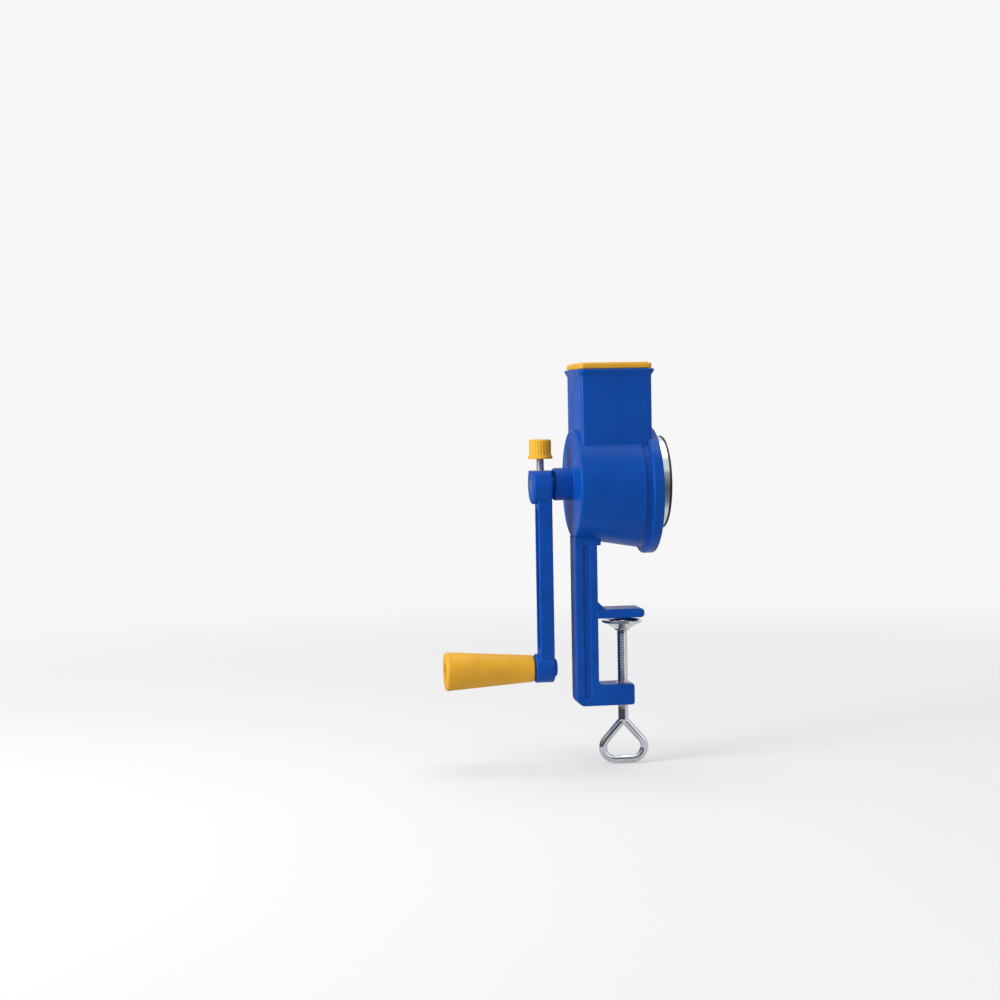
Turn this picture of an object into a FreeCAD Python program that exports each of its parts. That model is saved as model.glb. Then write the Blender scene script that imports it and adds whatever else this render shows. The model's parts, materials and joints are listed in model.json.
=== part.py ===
import FreeCAD
import Part

import math
import os

# A hand cranked nut grinder that clamps to a table edge, in millimetres.
# The frame: the origin is the point of the clamp jaw's underside that lies on the clamp screw's axis.
# +Z is up, +X runs along the drum from the crank side to the open mouth, and -Y is the front.

V = FreeCAD.Vector
X_AXIS = V(1, 0, 0)
Y_AXIS = V(0, 1, 0)
Z_AXIS = V(0, 0, 1)

# ---- Clearances ----
running_fit = 0.05        # radial, between a journal and its bore
loose_fit = 0.3           # between faces of pieces that move past each other
end_float = 0.3           # axial play of turning pieces
past = 1.0                # how far a cutter reaches past the face it opens

# ---- Table clamp ----
throat_depth = 21.0       # post's inner face to the screw's axis
clamp_opening = 52.0      # jaw's underside to the foot's top
post_width = 17.5         # along X
post_depth = 22.0         # along Y
post_groove_width = 5.5
post_groove_depth = 1.2
post_corner = 6.5         # outer bottom corner
inside_corner = 3.0       # between post and foot
jaw_thickness = 7.0
jaw_depth = 26.0          # along Y
jaw_reach = 15.5          # past the screw's axis
jaw_tip_radius = 2.8
jaw_gusset = 6.0
foot_height = 16.5
foot_reach = 7.2          # past the screw's axis
foot_edge = 2.0
saddle_reach = 3.2        # how far the saddle runs past the post's inner face
saddle_thickness = 3.0

# ---- Drum housing ----
drum_axis_height = 105.0  # above the jaw's underside
closed_end_radius = 42.0
open_end_radius = 46.9
open_end_drop = 5.9       # how far the open end's centre lies below the drum's axis
closed_end_edge = 1.6
housing_length = 63.0
housing_wall = 2.4
flange_width = 8.0
flange_height = 2.7
flange_edge = 0.8
groove_width = 5.0
groove_depth = 0.9
boss_radius = 12.65
boss_length = 15.6
boss_chamfer = 1.6
inner_boss_radius = 10.5
inner_boss_length = 3.6

# ---- Hopper ----
hopper_inset = 3.0        # from the closed end
hopper_width = 55.5       # along X, outside
hopper_depth = 59.0       # along Y, outside
hopper_wall = 2.2
hopper_rise = 88.5        # rim above the drum's axis
hopper_corner = 3.0
lip_height = 5.2
lip_band = 1.8            # upright part of the lip, above its slope
lip_reach = 2.2

# ---- Drum and its shaft ----
shaft_radius = 4.5
shaft_flat_depth = 0.8
shaft_chamfer = 0.5
bush_radius = 6.5
washer_thickness = 0.8
thrust_washer_radius = 9.0
crank_washer_radius = 10.0
hub_flange_radius = 14.0
hub_flange = 2.0
hub_radius = 7.5
hub_length = 11.0
shaft_tail = 2.0          # shaft's end past its hub
tin = 0.8                 # sheet thickness
drum_length = 55.0
drum_start_gap = 8.1      # housing's inside to the drum, at the closed end
drum_mouth_gap = 4.0      # housing's inside to the drum, at the mouth's top
disc_rim = 5.0            # the end disc's turned rim
band_length = 11.6
band_lap = 4.5            # of the band over the drum
bead_radius = 0.85
hole_radius = 1.7
hole_rows = 7
holes_per_row = 18
first_row = 9.5           # from each end of the drum
rivet_radius = 1.6
rivet_margin = 0.45       # rivet's head to the hub's sleeve and to its flange's rim
rivet_head = 1.1
rivet_crown_radius = 1.4
rivet_count = 4

# ---- Crank ----
crank_length = 143.5
crank_hub_radius = 15.2
crank_hub_flat = 10.8     # shaft's axis to the flat under the thumb screw
crank_hub_length = 15.6
crank_hub_edge = 2.0
arm_thickness = 11.3
arm_width = 17.0
arm_rim = 3.0
arm_web = 4.0
arm_edge = 1.2
arm_pocket_flat = 0.6      # half of the flat between a pocket's corners
crank_end_radius = 11.3
crank_end_length = 15.0
bump_radius = 6.8
bump_length = 2.3

# ---- Handle ----
grip_length = 69.4
grip_outer_radius = 15.15
grip_inner_radius = 10.35
grip_edge = 2.2
grip_inner_edge = 1.0
bolt_radius = 3.0
bolt_head_radius = 5.5
bolt_head = 3.5
bolt_socket_flat = 4.0    # width of the hexagon socket
bolt_socket_depth = 2.0
head_pocket_radius = 6.5
head_pocket = 7.5
grip_washer_radius = 9.0
nut_flat = 10.0           # across flats
nut_height = 5.0

# ---- Thumb screw ----
thumb_screw_radius = 2.9
thumb_pitch = 1.0
thumb_thread_depth = 0.35
thread_crest = 0.1        # half of a thread's flat crest and root, as a share of its pitch
insert_radius = 4.6
insert_gap = 1.3          # insert's lower end to the shaft
knob_radius = 8.6
knob_skirt_radius = 9.65
knob_skirt = 3.4
knob_skirt_band = 1.4     # upright part of the skirt
knob_height = 15.0
knob_gap = 9.3            # hub's flat to the knob's underside
knob_socket = 9.0         # screw's length inside the knob
knob_flute_radius = 0.7
knob_flute_depth = 0.3
knob_flutes = 24
knob_edge = 1.2

# ---- Clamp screw and pad ----
rod_radius = 4.0
neck_radius = 2.4
tip_head_radius = 4.0
tip_head = 1.4
tip_crown_radius = 2.4
pad_radius = 16.0
pad_height = 8.0
pad_rim = 1.6
pad_socket_radius = 6.0
pad_lip = 1.9             # flat rim round the dish
pad_dish = 2.6
pad_floor = 1.0
pad_gap = 2.6             # jaw's underside to the pad, screw run right up
loop_width = 39.5         # outside
loop_height = 46.0        # outside, below the foot
loop_rod_radius = 3.2
loop_side_radius = 9.5    # of the rod's centre line, at the two lower corners
loop_apex_drop = 11.0     # foot's underside to where the rod starts to part
loop_foot_gap = 1.5
clamp_bush_radius = 5.5
clamp_bush_length = 12.0

# ---- Pusher ----
plate_side_inset = 1.95   # lip's edge to the plate's, at the sides
plate_front_inset = 2.1   # lip's edge to the plate's, front and back
plate_thickness = 4.0
plate_corner = 2.6
plate_rib_height = 0.8
plate_rib_width = 3.0
plate_rib_slope = 0.55
plate_ribs = 10
plunger_side_gap = 2.55   # hopper's inside to the plunger, at the sides
plunger_front_gap = 2.3   # hopper's inside to the plunger, front and back
plunger_height = 42.0
plunger_wall = 2.0
plunger_corner = 4.0
plunger_foot_edge = 1.2
skirt_depth = 6.0
skirt_wall = 2.0
skirt_corner = 1.0        # inside
skirt_fit = 0.15

# ---- Bracket screws ----
bracket_screw_radius = 2.0
bracket_screw_head_radius = 3.9
bracket_screw_head = 2.2
bracket_screw_length = 16.0
bracket_screw_spread = 9.0

# ---- Places worked out from the sizes above ----
post_inner = -throat_depth
post_outer = post_inner - post_width
foot_top = -clamp_opening
foot_bottom = foot_top - foot_height
post_middle = (post_outer + post_inner) / 2
closed_end = post_outer                      # the housing starts flush with the post
open_end = closed_end + housing_length
boss_end = closed_end - boss_length
inner_boss_end = closed_end + housing_wall + inner_boss_length
hopper_middle = closed_end + hopper_inset + hopper_width / 2
rim_height = drum_axis_height + hopper_rise
plate_bottom = rim_height + loose_fit
plate_width = hopper_width + 2 * lip_reach - 2 * plate_side_inset
plate_depth = hopper_depth + 2 * lip_reach - 2 * plate_front_inset
plunger_width = hopper_width - 2 * hopper_wall - 2 * plunger_side_gap
plunger_depth = hopper_depth - 2 * hopper_wall - 2 * plunger_front_gap
crank_face = boss_end - end_float - washer_thickness      # crank hub's right face
crank_middle = crank_face - crank_hub_length / 2
crank_outer = crank_face - crank_hub_length
washer_face = inner_boss_end + end_float
hub_face = washer_face + washer_thickness
drum_start = hub_face + hub_flange
drum_end = drum_start + drum_length
band_start = drum_end - band_lap
band_end = band_start + band_length
shaft_end = hub_face + hub_length + shaft_tail
crank_end_height = drum_axis_height - crank_length
crank_end_outer = crank_face - crank_end_length
bump_face = crank_face + bump_length
grip_washer_face = crank_end_outer - washer_thickness
grip_inner = grip_washer_face - end_float
grip_outer = grip_inner - grip_length
bolt_head_face = grip_outer + head_pocket - end_float
hub_top = drum_axis_height + crank_hub_flat
shaft_flat_height = drum_axis_height + shaft_radius - shaft_flat_depth
knob_bottom = hub_top + knob_gap
knob_top = knob_bottom + knob_height
pad_top = -pad_gap
pad_bottom = pad_top - pad_height
pad_floor_height = pad_top - pad_dish
drum_small_radius = closed_end_radius - housing_wall - drum_start_gap
drum_mouth_radius = open_end_radius - open_end_drop - housing_wall - drum_mouth_gap
drum_taper = (drum_mouth_radius - drum_small_radius) / drum_length
row_pitch = (drum_length - 2 * first_row) / (hole_rows - 1)
rivet_circle = (hub_radius + hub_flange_radius) / 2
rivet_head_radius = (hub_flange_radius - hub_radius) / 2 - rivet_margin
insert_bottom = drum_axis_height + shaft_radius + insert_gap
pad_dish_radius = pad_radius - pad_lip - pad_dish


# ---- Helpers ----
def box(x0, x1, y0, y1, z0, z1):
    return Part.makeBox(x1 - x0, y1 - y0, z1 - z0, V(x0, y0, z0))


def rod(radius, start, end):
    """A cylinder between two points."""
    run = end - start
    return Part.makeCylinder(radius, run.Length, start, run)


def rod_x(radius, x0, x1, z=drum_axis_height):
    return rod(radius, V(x0, 0, z), V(x1, 0, z))


def rod_z(radius, z0, z1, x=0.0):
    return rod(radius, V(x, 0, z0), V(x, 0, z1))


def turned_x(points, z=drum_axis_height):
    """A solid of revolution about a line along X. The points are (x, radius)."""
    corners = [V(x, 0, z + radius) for x, radius in points]
    face = Part.Face(Part.makePolygon(corners + corners[:1]))
    return face.revolve(V(0, 0, z), X_AXIS, 360)


def turned_z(points, x=0.0):
    """A solid of revolution about a line along Z. The points are (radius, z)."""
    corners = [V(x + radius, 0, z) for radius, z in points]
    face = Part.Face(Part.makePolygon(corners + corners[:1]))
    return face.revolve(V(x, 0, 0), Z_AXIS, 360)


def front_prism(points, depth):
    """A solid from an outline in the front plane, centred on it. The points are (x, z)."""
    corners = [V(x, -depth / 2, z) for x, z in points]
    return Part.Face(Part.makePolygon(corners + corners[:1])).extrude(V(0, depth, 0))


def round_edges(shape, test=None):
    """The circular edges, or those of them that pass a test."""
    circles = [edge for edge in shape.Edges if isinstance(edge.Curve, Part.Circle)]
    return [edge for edge in circles if test is None or test(edge.CenterOfMass)]


def edges_along(shape, direction, test=None):
    """The straight edges that run along a direction, or those of them that pass a test."""
    found = []
    for edge in shape.Edges:
        if not isinstance(edge.Curve, Part.Line):
            continue
        run = edge.Vertexes[-1].Point - edge.Vertexes[0].Point
        if run.Length > 0 and abs(run.normalize().dot(direction)) > 0.999:
            if test is None or test(edge.CenterOfMass):
                found.append(edge)
    return found


def upright_block(x_middle, width, depth, z0, z1, corner):
    """A block with rounded upright edges, centred on the drum's plane."""
    block = box(x_middle - width / 2, x_middle + width / 2, -depth / 2, depth / 2, z0, z1)
    return block.makeFillet(corner, edges_along(block, Z_AXIS))


def circle_x(x, z, radius):
    return Part.Wire(Part.makeCircle(radius, V(x, 0, z), X_AXIS))


def rectangle_z(x_middle, width, depth, z, corner):
    """A wire with round corners in a level plane."""
    sheet = upright_block(x_middle, width, depth, z - past, z, corner)
    top = max(sheet.Faces, key=lambda face: face.CenterOfMass.z)
    return top.OuterWire


def hexagon_x(flat, x0, x1, z):
    """A hexagonal prism along X, from its size across flats."""
    radius = flat / math.sqrt(3)
    corners = []
    for step in range(7):
        angle = math.radians(60 * step)
        corners.append(V(x0, radius * math.cos(angle), z + radius * math.sin(angle)))
    return Part.Face(Part.makePolygon(corners)).extrude(V(x1 - x0, 0, 0))


def washer_x(radius, bore, x0, x1, z=drum_axis_height):
    return rod_x(radius, x0, x1, z).cut(rod_x(bore, x0 - past, x1 + past, z))


def thread_grooves(radius, depth, pitch, z0, z1, x=0.0):
    """Ring grooves that stand for a thread's profile, from z0 up to z1."""
    flat = thread_crest * pitch
    rings = []
    for step in range(int((z1 - z0) / pitch)):
        low = z0 + step * pitch
        middle = low + pitch / 2
        high = low + pitch
        rings.append(turned_z([(radius, low + flat), (radius - depth, middle - flat),
                               (radius - depth, middle + flat), (radius, high - flat),
                               (radius + past, high - flat), (radius + past, low + flat)], x))
    return rings


def export(name, shape):
    shape = shape.removeSplitter()
    if not shape.isValid() or shape.Volume <= 0:
        raise ValueError(name + " is not a sound solid")
    shape.exportStep("parts/" + name + ".step")


# ---- Casing: hopper, drum housing and bearing boss in one moulding ----
def housing_radius(x):
    """The housing's outer radius at a place along the drum's axis."""
    share = (x - closed_end) / housing_length
    return closed_end_radius + (open_end_radius - closed_end_radius) * share


def housing_centre(x):
    """The height of the housing's centre there, which drops towards the open end."""
    return drum_axis_height - open_end_drop * (x - closed_end) / housing_length


def housing_cone(x0, x1, inset):
    """The drop-bottomed cone of the housing between two places, its surface moved in by inset."""
    start = circle_x(x0, housing_centre(x0), housing_radius(x0) - inset)
    end = circle_x(x1, housing_centre(x1), housing_radius(x1) - inset)
    return Part.makeLoft([start, end], True, True)


def hopper_lip():
    """The rim's outward flare."""
    width = hopper_width + 2 * lip_reach
    depth = hopper_depth + 2 * lip_reach
    corner = hopper_corner + lip_reach
    low = rectangle_z(hopper_middle, hopper_width, hopper_depth, rim_height - lip_height, hopper_corner)
    middle = rectangle_z(hopper_middle, width, depth, rim_height - lip_band, corner)
    top = rectangle_z(hopper_middle, width, depth, rim_height, corner)
    return Part.makeLoft([low, middle, top], True, True)


def mouth_flange():
    radius = open_end_radius + flange_height
    flange = rod_x(radius, open_end - flange_width, open_end, housing_centre(open_end))
    return flange.makeFillet(flange_edge, round_edges(flange))


def bearing_boss():
    return turned_x([(boss_end, 0), (boss_end, boss_radius - boss_chamfer),
                     (boss_end + boss_chamfer, boss_radius), (closed_end + past, boss_radius),
                     (closed_end + past, 0)])


def flange_groove():
    """The cutter for the shallow groove that parts the housing from its flange, clear of the hopper."""
    end = open_end - flange_width
    start = end - groove_width
    ring = housing_cone(start, end, -past).cut(housing_cone(start, end, groove_depth))
    return ring.cut(box(start, end, -hopper_depth / 2, hopper_depth / 2, drum_axis_height, rim_height))


def body_casing():
    tower = upright_block(hopper_middle, hopper_width, hopper_depth,
                          drum_axis_height, rim_height, hopper_corner)
    housing = housing_cone(closed_end, open_end, 0)
    housing = housing.makeFillet(closed_end_edge, round_edges(housing, lambda c: c.x < closed_end + past))
    shell = housing.fuse([mouth_flange(), tower, hopper_lip(), bearing_boss()])
    cavity = housing_cone(closed_end + housing_wall, open_end + past, housing_wall)
    well = upright_block(hopper_middle, hopper_width - 2 * hopper_wall, hopper_depth - 2 * hopper_wall,
                         drum_axis_height, rim_height + past, hopper_corner - hopper_wall)
    shell = shell.cut([flange_groove(), cavity.fuse(well)])
    shell = shell.fuse(rod_x(inner_boss_radius, closed_end + past, inner_boss_end))
    return shell.cut([rod_x(bush_radius, boss_end - past, inner_boss_end + past)] + bracket_screw_bores())


# ---- Clamp bracket: saddle, post, jaw and foot in one moulding ----
def clamp_jaw():
    jaw = box(post_inner - past, jaw_reach, -jaw_depth / 2, jaw_depth / 2, 0, jaw_thickness)
    jaw = jaw.makeFillet(jaw_tip_radius, edges_along(jaw, Y_AXIS, lambda c: c.x > jaw_reach - past))
    gusset = front_prism([(post_inner - past, jaw_thickness), (post_inner + jaw_gusset, jaw_thickness),
                          (post_inner, jaw_thickness + jaw_gusset),
                          (post_inner - past, jaw_thickness + jaw_gusset)], post_depth)
    return jaw.fuse(gusset)


def clamp_frame():
    """The post and the foot, with the post run on into the housing."""
    frame = front_prism([(post_outer, drum_axis_height), (post_inner, drum_axis_height),
                         (post_inner, foot_top), (foot_reach, foot_top),
                         (foot_reach, foot_bottom), (post_outer, foot_bottom)], post_depth)
    outside = edges_along(frame, Y_AXIS, lambda c: c.x < post_outer + past and c.z < foot_top)
    frame = frame.makeFillet(post_corner, outside)
    inside = edges_along(frame, Y_AXIS, lambda c: abs(c.x - post_inner) < past and c.z < 0)
    frame = frame.makeFillet(inside_corner, inside)
    return frame.makeFillet(foot_edge, edges_along(frame, Y_AXIS, lambda c: c.x > foot_reach - past))


def saddle_base():
    """The height of the saddle's underside."""
    return housing_centre(post_inner) - housing_radius(post_inner) - saddle_thickness


def post_grooves():
    """The cutters for the shallow channels down the post's front and back."""
    channel = box(post_middle - post_groove_width / 2, post_middle + post_groove_width / 2,
                  -post_depth / 2 - past, post_depth / 2 + past, foot_bottom + post_corner, saddle_base())
    web_depth = post_depth - 2 * post_groove_depth
    return channel.cut(box(post_outer, post_inner, -web_depth / 2, web_depth / 2,
                           foot_bottom, drum_axis_height))


def clamp_bracket():
    saddle = box(post_outer, post_inner + saddle_reach, -post_depth / 2, post_depth / 2,
                 saddle_base(), drum_axis_height)
    bracket = clamp_frame().fuse([saddle, clamp_jaw()])
    screw_hole = rod_z(rod_radius + loose_fit, foot_bottom - past, foot_top)
    bush_hole = rod_z(clamp_bush_radius, foot_top - clamp_bush_length, foot_top + past)
    housing = housing_cone(closed_end - past, open_end, 0)
    return bracket.cut([post_grooves(), housing, screw_hole, bush_hole] + bracket_screw_bores())


def clamp_bush():
    """The threaded bush that the clamp screw runs in."""
    low = foot_top - clamp_bush_length
    bush = rod_z(clamp_bush_radius, low, foot_top)
    return bush.cut(rod_z(rod_radius + running_fit, low - past, foot_top + past))


# ---- Screws that hold the bracket to the casing, put in from inside the housing ----
def bracket_screw_places():
    """The two screws stand in a row along the drum, in the middle of the post."""
    return [post_middle - bracket_screw_spread / 2, post_middle + bracket_screw_spread / 2]


def bracket_screw_seat(x):
    """The housing's inner floor under the drum."""
    return housing_centre(x) - housing_radius(x) + housing_wall


def bracket_screw(x):
    """A countersunk screw."""
    seat = bracket_screw_seat(x)
    end = seat - bracket_screw_length
    return turned_z([(0, seat), (bracket_screw_head_radius, seat),
                     (bracket_screw_radius, seat - bracket_screw_head),
                     (bracket_screw_radius, end), (0, end)], x)


def bracket_screw_bores():
    """The cutters for the screws' holes, which run out above the housing's floor."""
    cutters = []
    for x in bracket_screw_places():
        seat = bracket_screw_seat(x)
        cutters.append(bracket_screw(x))
        cutters.append(rod_z(bracket_screw_head_radius, seat, seat + past, x))
    return cutters


def bracket_screws():
    return Part.makeCompound([bracket_screw(x) for x in bracket_screw_places()])


# ---- Bearing and washers ----
def shaft_bush():
    return washer_x(bush_radius, shaft_radius + running_fit, boss_end, inner_boss_end)


def thrust_washer():
    return washer_x(thrust_washer_radius, shaft_radius + running_fit, washer_face, hub_face)


def crank_washer():
    return washer_x(crank_washer_radius, shaft_radius + running_fit,
                    crank_face, crank_face + washer_thickness)


# ---- Drum, which lifts out with its shaft ----
def drum_shaft():
    shaft = rod_x(shaft_radius, crank_outer, shaft_end)
    flat = box(crank_outer - past, crank_face, -shaft_radius, shaft_radius,
               shaft_flat_height, drum_axis_height + 2 * shaft_radius)
    return shaft.makeChamfer(shaft_chamfer, round_edges(shaft)).cut(flat)


def rivet_places():
    for step in range(rivet_count):
        angle = math.radians(360 / rivet_count * (step + 0.5))
        yield rivet_circle * math.sin(angle), drum_axis_height + rivet_circle * math.cos(angle)


def rivet_holes():
    holes = []
    for y, z in rivet_places():
        holes.append(rod(rivet_radius, V(hub_face - past, y, z), V(drum_start + hub_length, y, z)))
    return holes


def drum_hub():
    flange = rod_x(hub_flange_radius, hub_face, drum_start)
    sleeve = rod_x(hub_radius, drum_start, hub_face + hub_length)
    hub = flange.fuse(sleeve).cut(rod_x(shaft_radius, hub_face - past, shaft_end))
    return hub.cut(rivet_holes())


def cone_radius(x):
    """The drum's outer radius at a place along its axis."""
    return drum_small_radius + drum_taper * (x - drum_start)


def drum_end_disc():
    inner = cone_radius(drum_start) - tin
    rim = cone_radius(drum_start + disc_rim) - tin
    disc = turned_x([(drum_start, hub_radius), (drum_start, inner), (drum_start + disc_rim, rim),
                     (drum_start + disc_rim, rim - tin), (drum_start + tin, inner - tin),
                     (drum_start + tin, hub_radius)])
    return disc.cut(rivet_holes())


def drum_rivets():
    rivets = []
    for y, z in rivet_places():
        shank = rod(rivet_radius, V(hub_face, y, z), V(drum_start + tin, y, z))
        seat = V(drum_start + tin, y, z)
        head = Part.makeCone(rivet_head_radius, rivet_crown_radius, rivet_head, seat, X_AXIS)
        rivets.append(shank.fuse(head))
    return Part.makeCompound(rivets)


def drum_shell():
    shell = turned_x([(drum_start, cone_radius(drum_start)), (drum_end, cone_radius(drum_end)),
                      (drum_end, cone_radius(drum_end) - tin), (drum_start, cone_radius(drum_start) - tin)])
    drills = []
    for row in range(hole_rows):
        x = drum_start + first_row + row * row_pitch
        centre = V(x, 0, drum_axis_height)
        stagger = 0.5 * (row % 2)
        for step in range(holes_per_row):
            angle = math.radians(360 / holes_per_row * (step + stagger))
            outward = V(0, math.sin(angle), math.cos(angle))
            inside = centre + outward * (cone_radius(x) - tin - past)
            drills.append(rod(hole_radius, inside, centre + outward * (cone_radius(x) + past)))
    return shell.cut(Part.makeCompound(drills))


def drum_mouth_band():
    """A plain band round the drum's mouth, lapped over the drum at its start."""
    inside = drum_mouth_radius
    outside = drum_mouth_radius + tin
    return turned_x([(band_start, cone_radius(band_start)), (band_start, outside), (band_end, outside),
                     (band_end, inside), (drum_end, inside)])


def drum_mouth_bead():
    centre = V(band_end, 0, drum_axis_height)
    return Part.makeTorus(drum_mouth_radius + tin, bead_radius, centre, X_AXIS).cut(drum_mouth_band())


# ---- Crank ----
def arm_block():
    """The arm between the two hub centres, with a long pocket in each broad face."""
    right = crank_face
    left = crank_face - arm_thickness
    arm = box(left, right, -arm_width / 2, arm_width / 2, crank_end_height, drum_axis_height)
    arm = arm.makeFillet(arm_edge, edges_along(arm, Z_AXIS))
    pocket_top = drum_axis_height - crank_hub_radius - arm_rim
    pocket_bottom = crank_end_height + crank_end_radius + arm_rim
    pocket_depth = (arm_thickness - arm_web) / 2
    half = arm_width / 2 - arm_rim
    corner = half - arm_pocket_flat
    pockets = []
    for x0, x1 in ((left - past, left + pocket_depth), (right - pocket_depth, right + past)):
        pocket = box(x0, x1, -half, half, pocket_bottom, pocket_top)
        pockets.append(pocket.makeFillet(corner, edges_along(pocket, X_AXIS)))
    return arm.cut(pockets)


def crank_hub():
    """A round hub, cut flat on top."""
    hub = rod_x(crank_hub_radius, crank_outer, crank_face)
    hub = hub.makeFillet(crank_hub_edge, round_edges(hub))
    return hub.cut(box(crank_outer, crank_face, -crank_hub_radius, crank_hub_radius,
                       hub_top, hub_top + crank_hub_radius))


def crank_end():
    end = rod_x(crank_end_radius, crank_end_outer, crank_face, crank_end_height)
    end = end.makeFillet(arm_edge, round_edges(end))
    return end.fuse(rod_x(bump_radius, crank_face - past, bump_face, crank_end_height))


def crank_arm():
    crank = arm_block().fuse([crank_hub(), crank_end()])
    shaft_bore = rod_x(shaft_radius + running_fit, crank_outer - past, crank_face + past)
    bolt_bore = rod_x(bolt_radius, crank_end_outer - past, bump_face + past, crank_end_height)
    bolt_nut_pocket = hexagon_x(nut_flat, bump_face - nut_height, bump_face + past, crank_end_height)
    insert_bore = rod_z(insert_radius, insert_bottom, hub_top + past, crank_middle)
    screw_bore = rod_z(thumb_screw_radius + loose_fit, drum_axis_height, hub_top, crank_middle)
    return crank.cut([shaft_bore, bolt_bore, bolt_nut_pocket, insert_bore, screw_bore])


def hub_insert():
    """The threaded bush that the thumb screw turns in."""
    insert = rod_z(insert_radius, insert_bottom, hub_top, crank_middle)
    return insert.cut(rod_z(thumb_screw_radius + running_fit, drum_axis_height, hub_top + past, crank_middle))


# ---- Handle ----
def handle_grip():
    grip = turned_x([(grip_outer, 0), (grip_outer, grip_outer_radius), (grip_inner, grip_inner_radius),
                     (grip_inner, 0)], crank_end_height)
    grip = grip.makeFillet(grip_edge, round_edges(grip, lambda c: c.x < grip_outer + past))
    grip = grip.makeFillet(grip_inner_edge, round_edges(grip, lambda c: c.x > grip_inner - past))
    bore = rod_x(bolt_radius + running_fit, grip_outer - past, grip_inner + past, crank_end_height)
    pocket = rod_x(head_pocket_radius, grip_outer - past, grip_outer + head_pocket, crank_end_height)
    return grip.cut([bore, pocket])


def handle_bolt():
    end = bolt_head_face - bolt_head
    shank = rod_x(bolt_radius, bolt_head_face - past, bump_face, crank_end_height)
    head = rod_x(bolt_head_radius, end, bolt_head_face, crank_end_height)
    socket = hexagon_x(bolt_socket_flat, end - past, end + bolt_socket_depth, crank_end_height)
    return head.fuse(shank).cut(socket)


def handle_nut():
    nut = hexagon_x(nut_flat, bump_face - nut_height, bump_face, crank_end_height)
    return nut.cut(rod_x(bolt_radius, bump_face - nut_height - past, bump_face + past, crank_end_height))


def handle_washer():
    return washer_x(grip_washer_radius, bolt_radius, grip_washer_face, crank_end_outer, crank_end_height)


# ---- Thumb screw ----
def thumb_screw_shank():
    shank = rod_z(thumb_screw_radius, shaft_flat_height + loose_fit, knob_bottom + knob_socket, crank_middle)
    return shank.cut(thread_grooves(thumb_screw_radius, thumb_thread_depth, thumb_pitch,
                                    hub_top, knob_bottom, crank_middle))


def thumb_knob():
    knob = turned_z([(0, knob_bottom), (knob_skirt_radius, knob_bottom),
                     (knob_skirt_radius, knob_bottom + knob_skirt_band),
                     (knob_radius, knob_bottom + knob_skirt), (knob_radius, knob_top - knob_edge),
                     (knob_radius - knob_edge, knob_top), (0, knob_top)], crank_middle)
    flute_circle = knob_radius + knob_flute_radius - knob_flute_depth
    flutes = []
    for step in range(knob_flutes):
        angle = math.radians(360 / knob_flutes * step)
        x = crank_middle + flute_circle * math.cos(angle)
        y = flute_circle * math.sin(angle)
        flutes.append(rod(knob_flute_radius, V(x, y, knob_bottom + knob_skirt), V(x, y, knob_top + past)))
    socket = rod_z(thumb_screw_radius + running_fit, knob_bottom - past,
                   knob_bottom + knob_socket + running_fit, crank_middle)
    return knob.cut(Part.makeCompound(flutes)).cut(socket)


# ---- Clamp screw: one rod, bent into its own handle ----
def loop_path():
    """The handle loop's centre line in the front plane, a closed drop shape that hangs from the rod."""
    half = loop_width / 2 - loop_rod_radius
    low = foot_bottom - loop_foot_gap - loop_height + loop_rod_radius
    apex = V(0, 0, foot_bottom - loop_foot_gap - loop_apex_drop)
    corner_x = half - loop_side_radius
    corner_z = low + loop_side_radius
    centre = V(corner_x, 0, corner_z)
    # the straight side touches the corner's arc where the radius is square to it
    reach = centre - apex
    turn = math.asin(loop_side_radius / reach.Length)
    lean = math.atan2(reach.x, -reach.z)
    normal = lean + turn
    touch = centre + V(math.cos(normal), 0, math.sin(normal)) * loop_side_radius
    middle = (normal - math.pi / 2) / 2
    outmost = centre + V(math.cos(middle), 0, math.sin(middle)) * loop_side_radius
    floor = V(corner_x, 0, low)

    def mirrored(point):
        return V(-point.x, point.y, point.z)

    edges = [Part.LineSegment(apex, touch).toShape(),
             Part.Arc(touch, outmost, floor).toShape(),
             Part.LineSegment(floor, mirrored(floor)).toShape(),
             Part.Arc(mirrored(floor), mirrored(outmost), mirrored(touch)).toShape(),
             Part.LineSegment(mirrored(touch), apex).toShape()]
    return Part.Wire(edges), apex


def loop_handle(path):
    """The loop as straight rods and bent corners, with a ball where the two sides part."""
    pieces = []
    for edge in path.Edges:
        start = edge.valueAt(edge.FirstParameter)
        profile = Part.Wire(Part.makeCircle(loop_rod_radius, start, edge.tangentAt(edge.FirstParameter)))
        pieces.append(Part.Wire([edge]).makePipeShell([profile], True, False))
    apex = path.Edges[0].valueAt(path.Edges[0].FirstParameter)
    pieces.append(Part.makeSphere(loop_rod_radius, apex))
    return pieces[0].fuse(pieces[1:])


def clamp_screw():
    """The rod with its loop below and, above, a neck through the pad with a peened head."""
    path, apex = loop_path()
    shoulder = pad_bottom - loose_fit
    head_seat = pad_floor_height + loose_fit
    shank = rod_z(rod_radius, apex.z, shoulder)
    neck = rod_z(neck_radius, shoulder - past, head_seat + past)
    head = turned_z([(0, head_seat), (tip_head_radius, head_seat), (tip_crown_radius, head_seat + tip_head),
                     (0, head_seat + tip_head)])
    return shank.fuse([neck, head, loop_handle(path)])


def clamp_pad():
    """A dished swivel pad on the screw's tip."""
    bore = neck_radius + loose_fit
    return turned_z([(bore, pad_floor_height), (pad_dish_radius, pad_floor_height),
                     (pad_dish_radius + pad_dish, pad_top), (pad_radius, pad_top),
                     (pad_radius, pad_top - pad_rim), (pad_socket_radius, pad_bottom + pad_floor),
                     (pad_socket_radius, pad_bottom), (bore, pad_bottom)])


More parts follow.
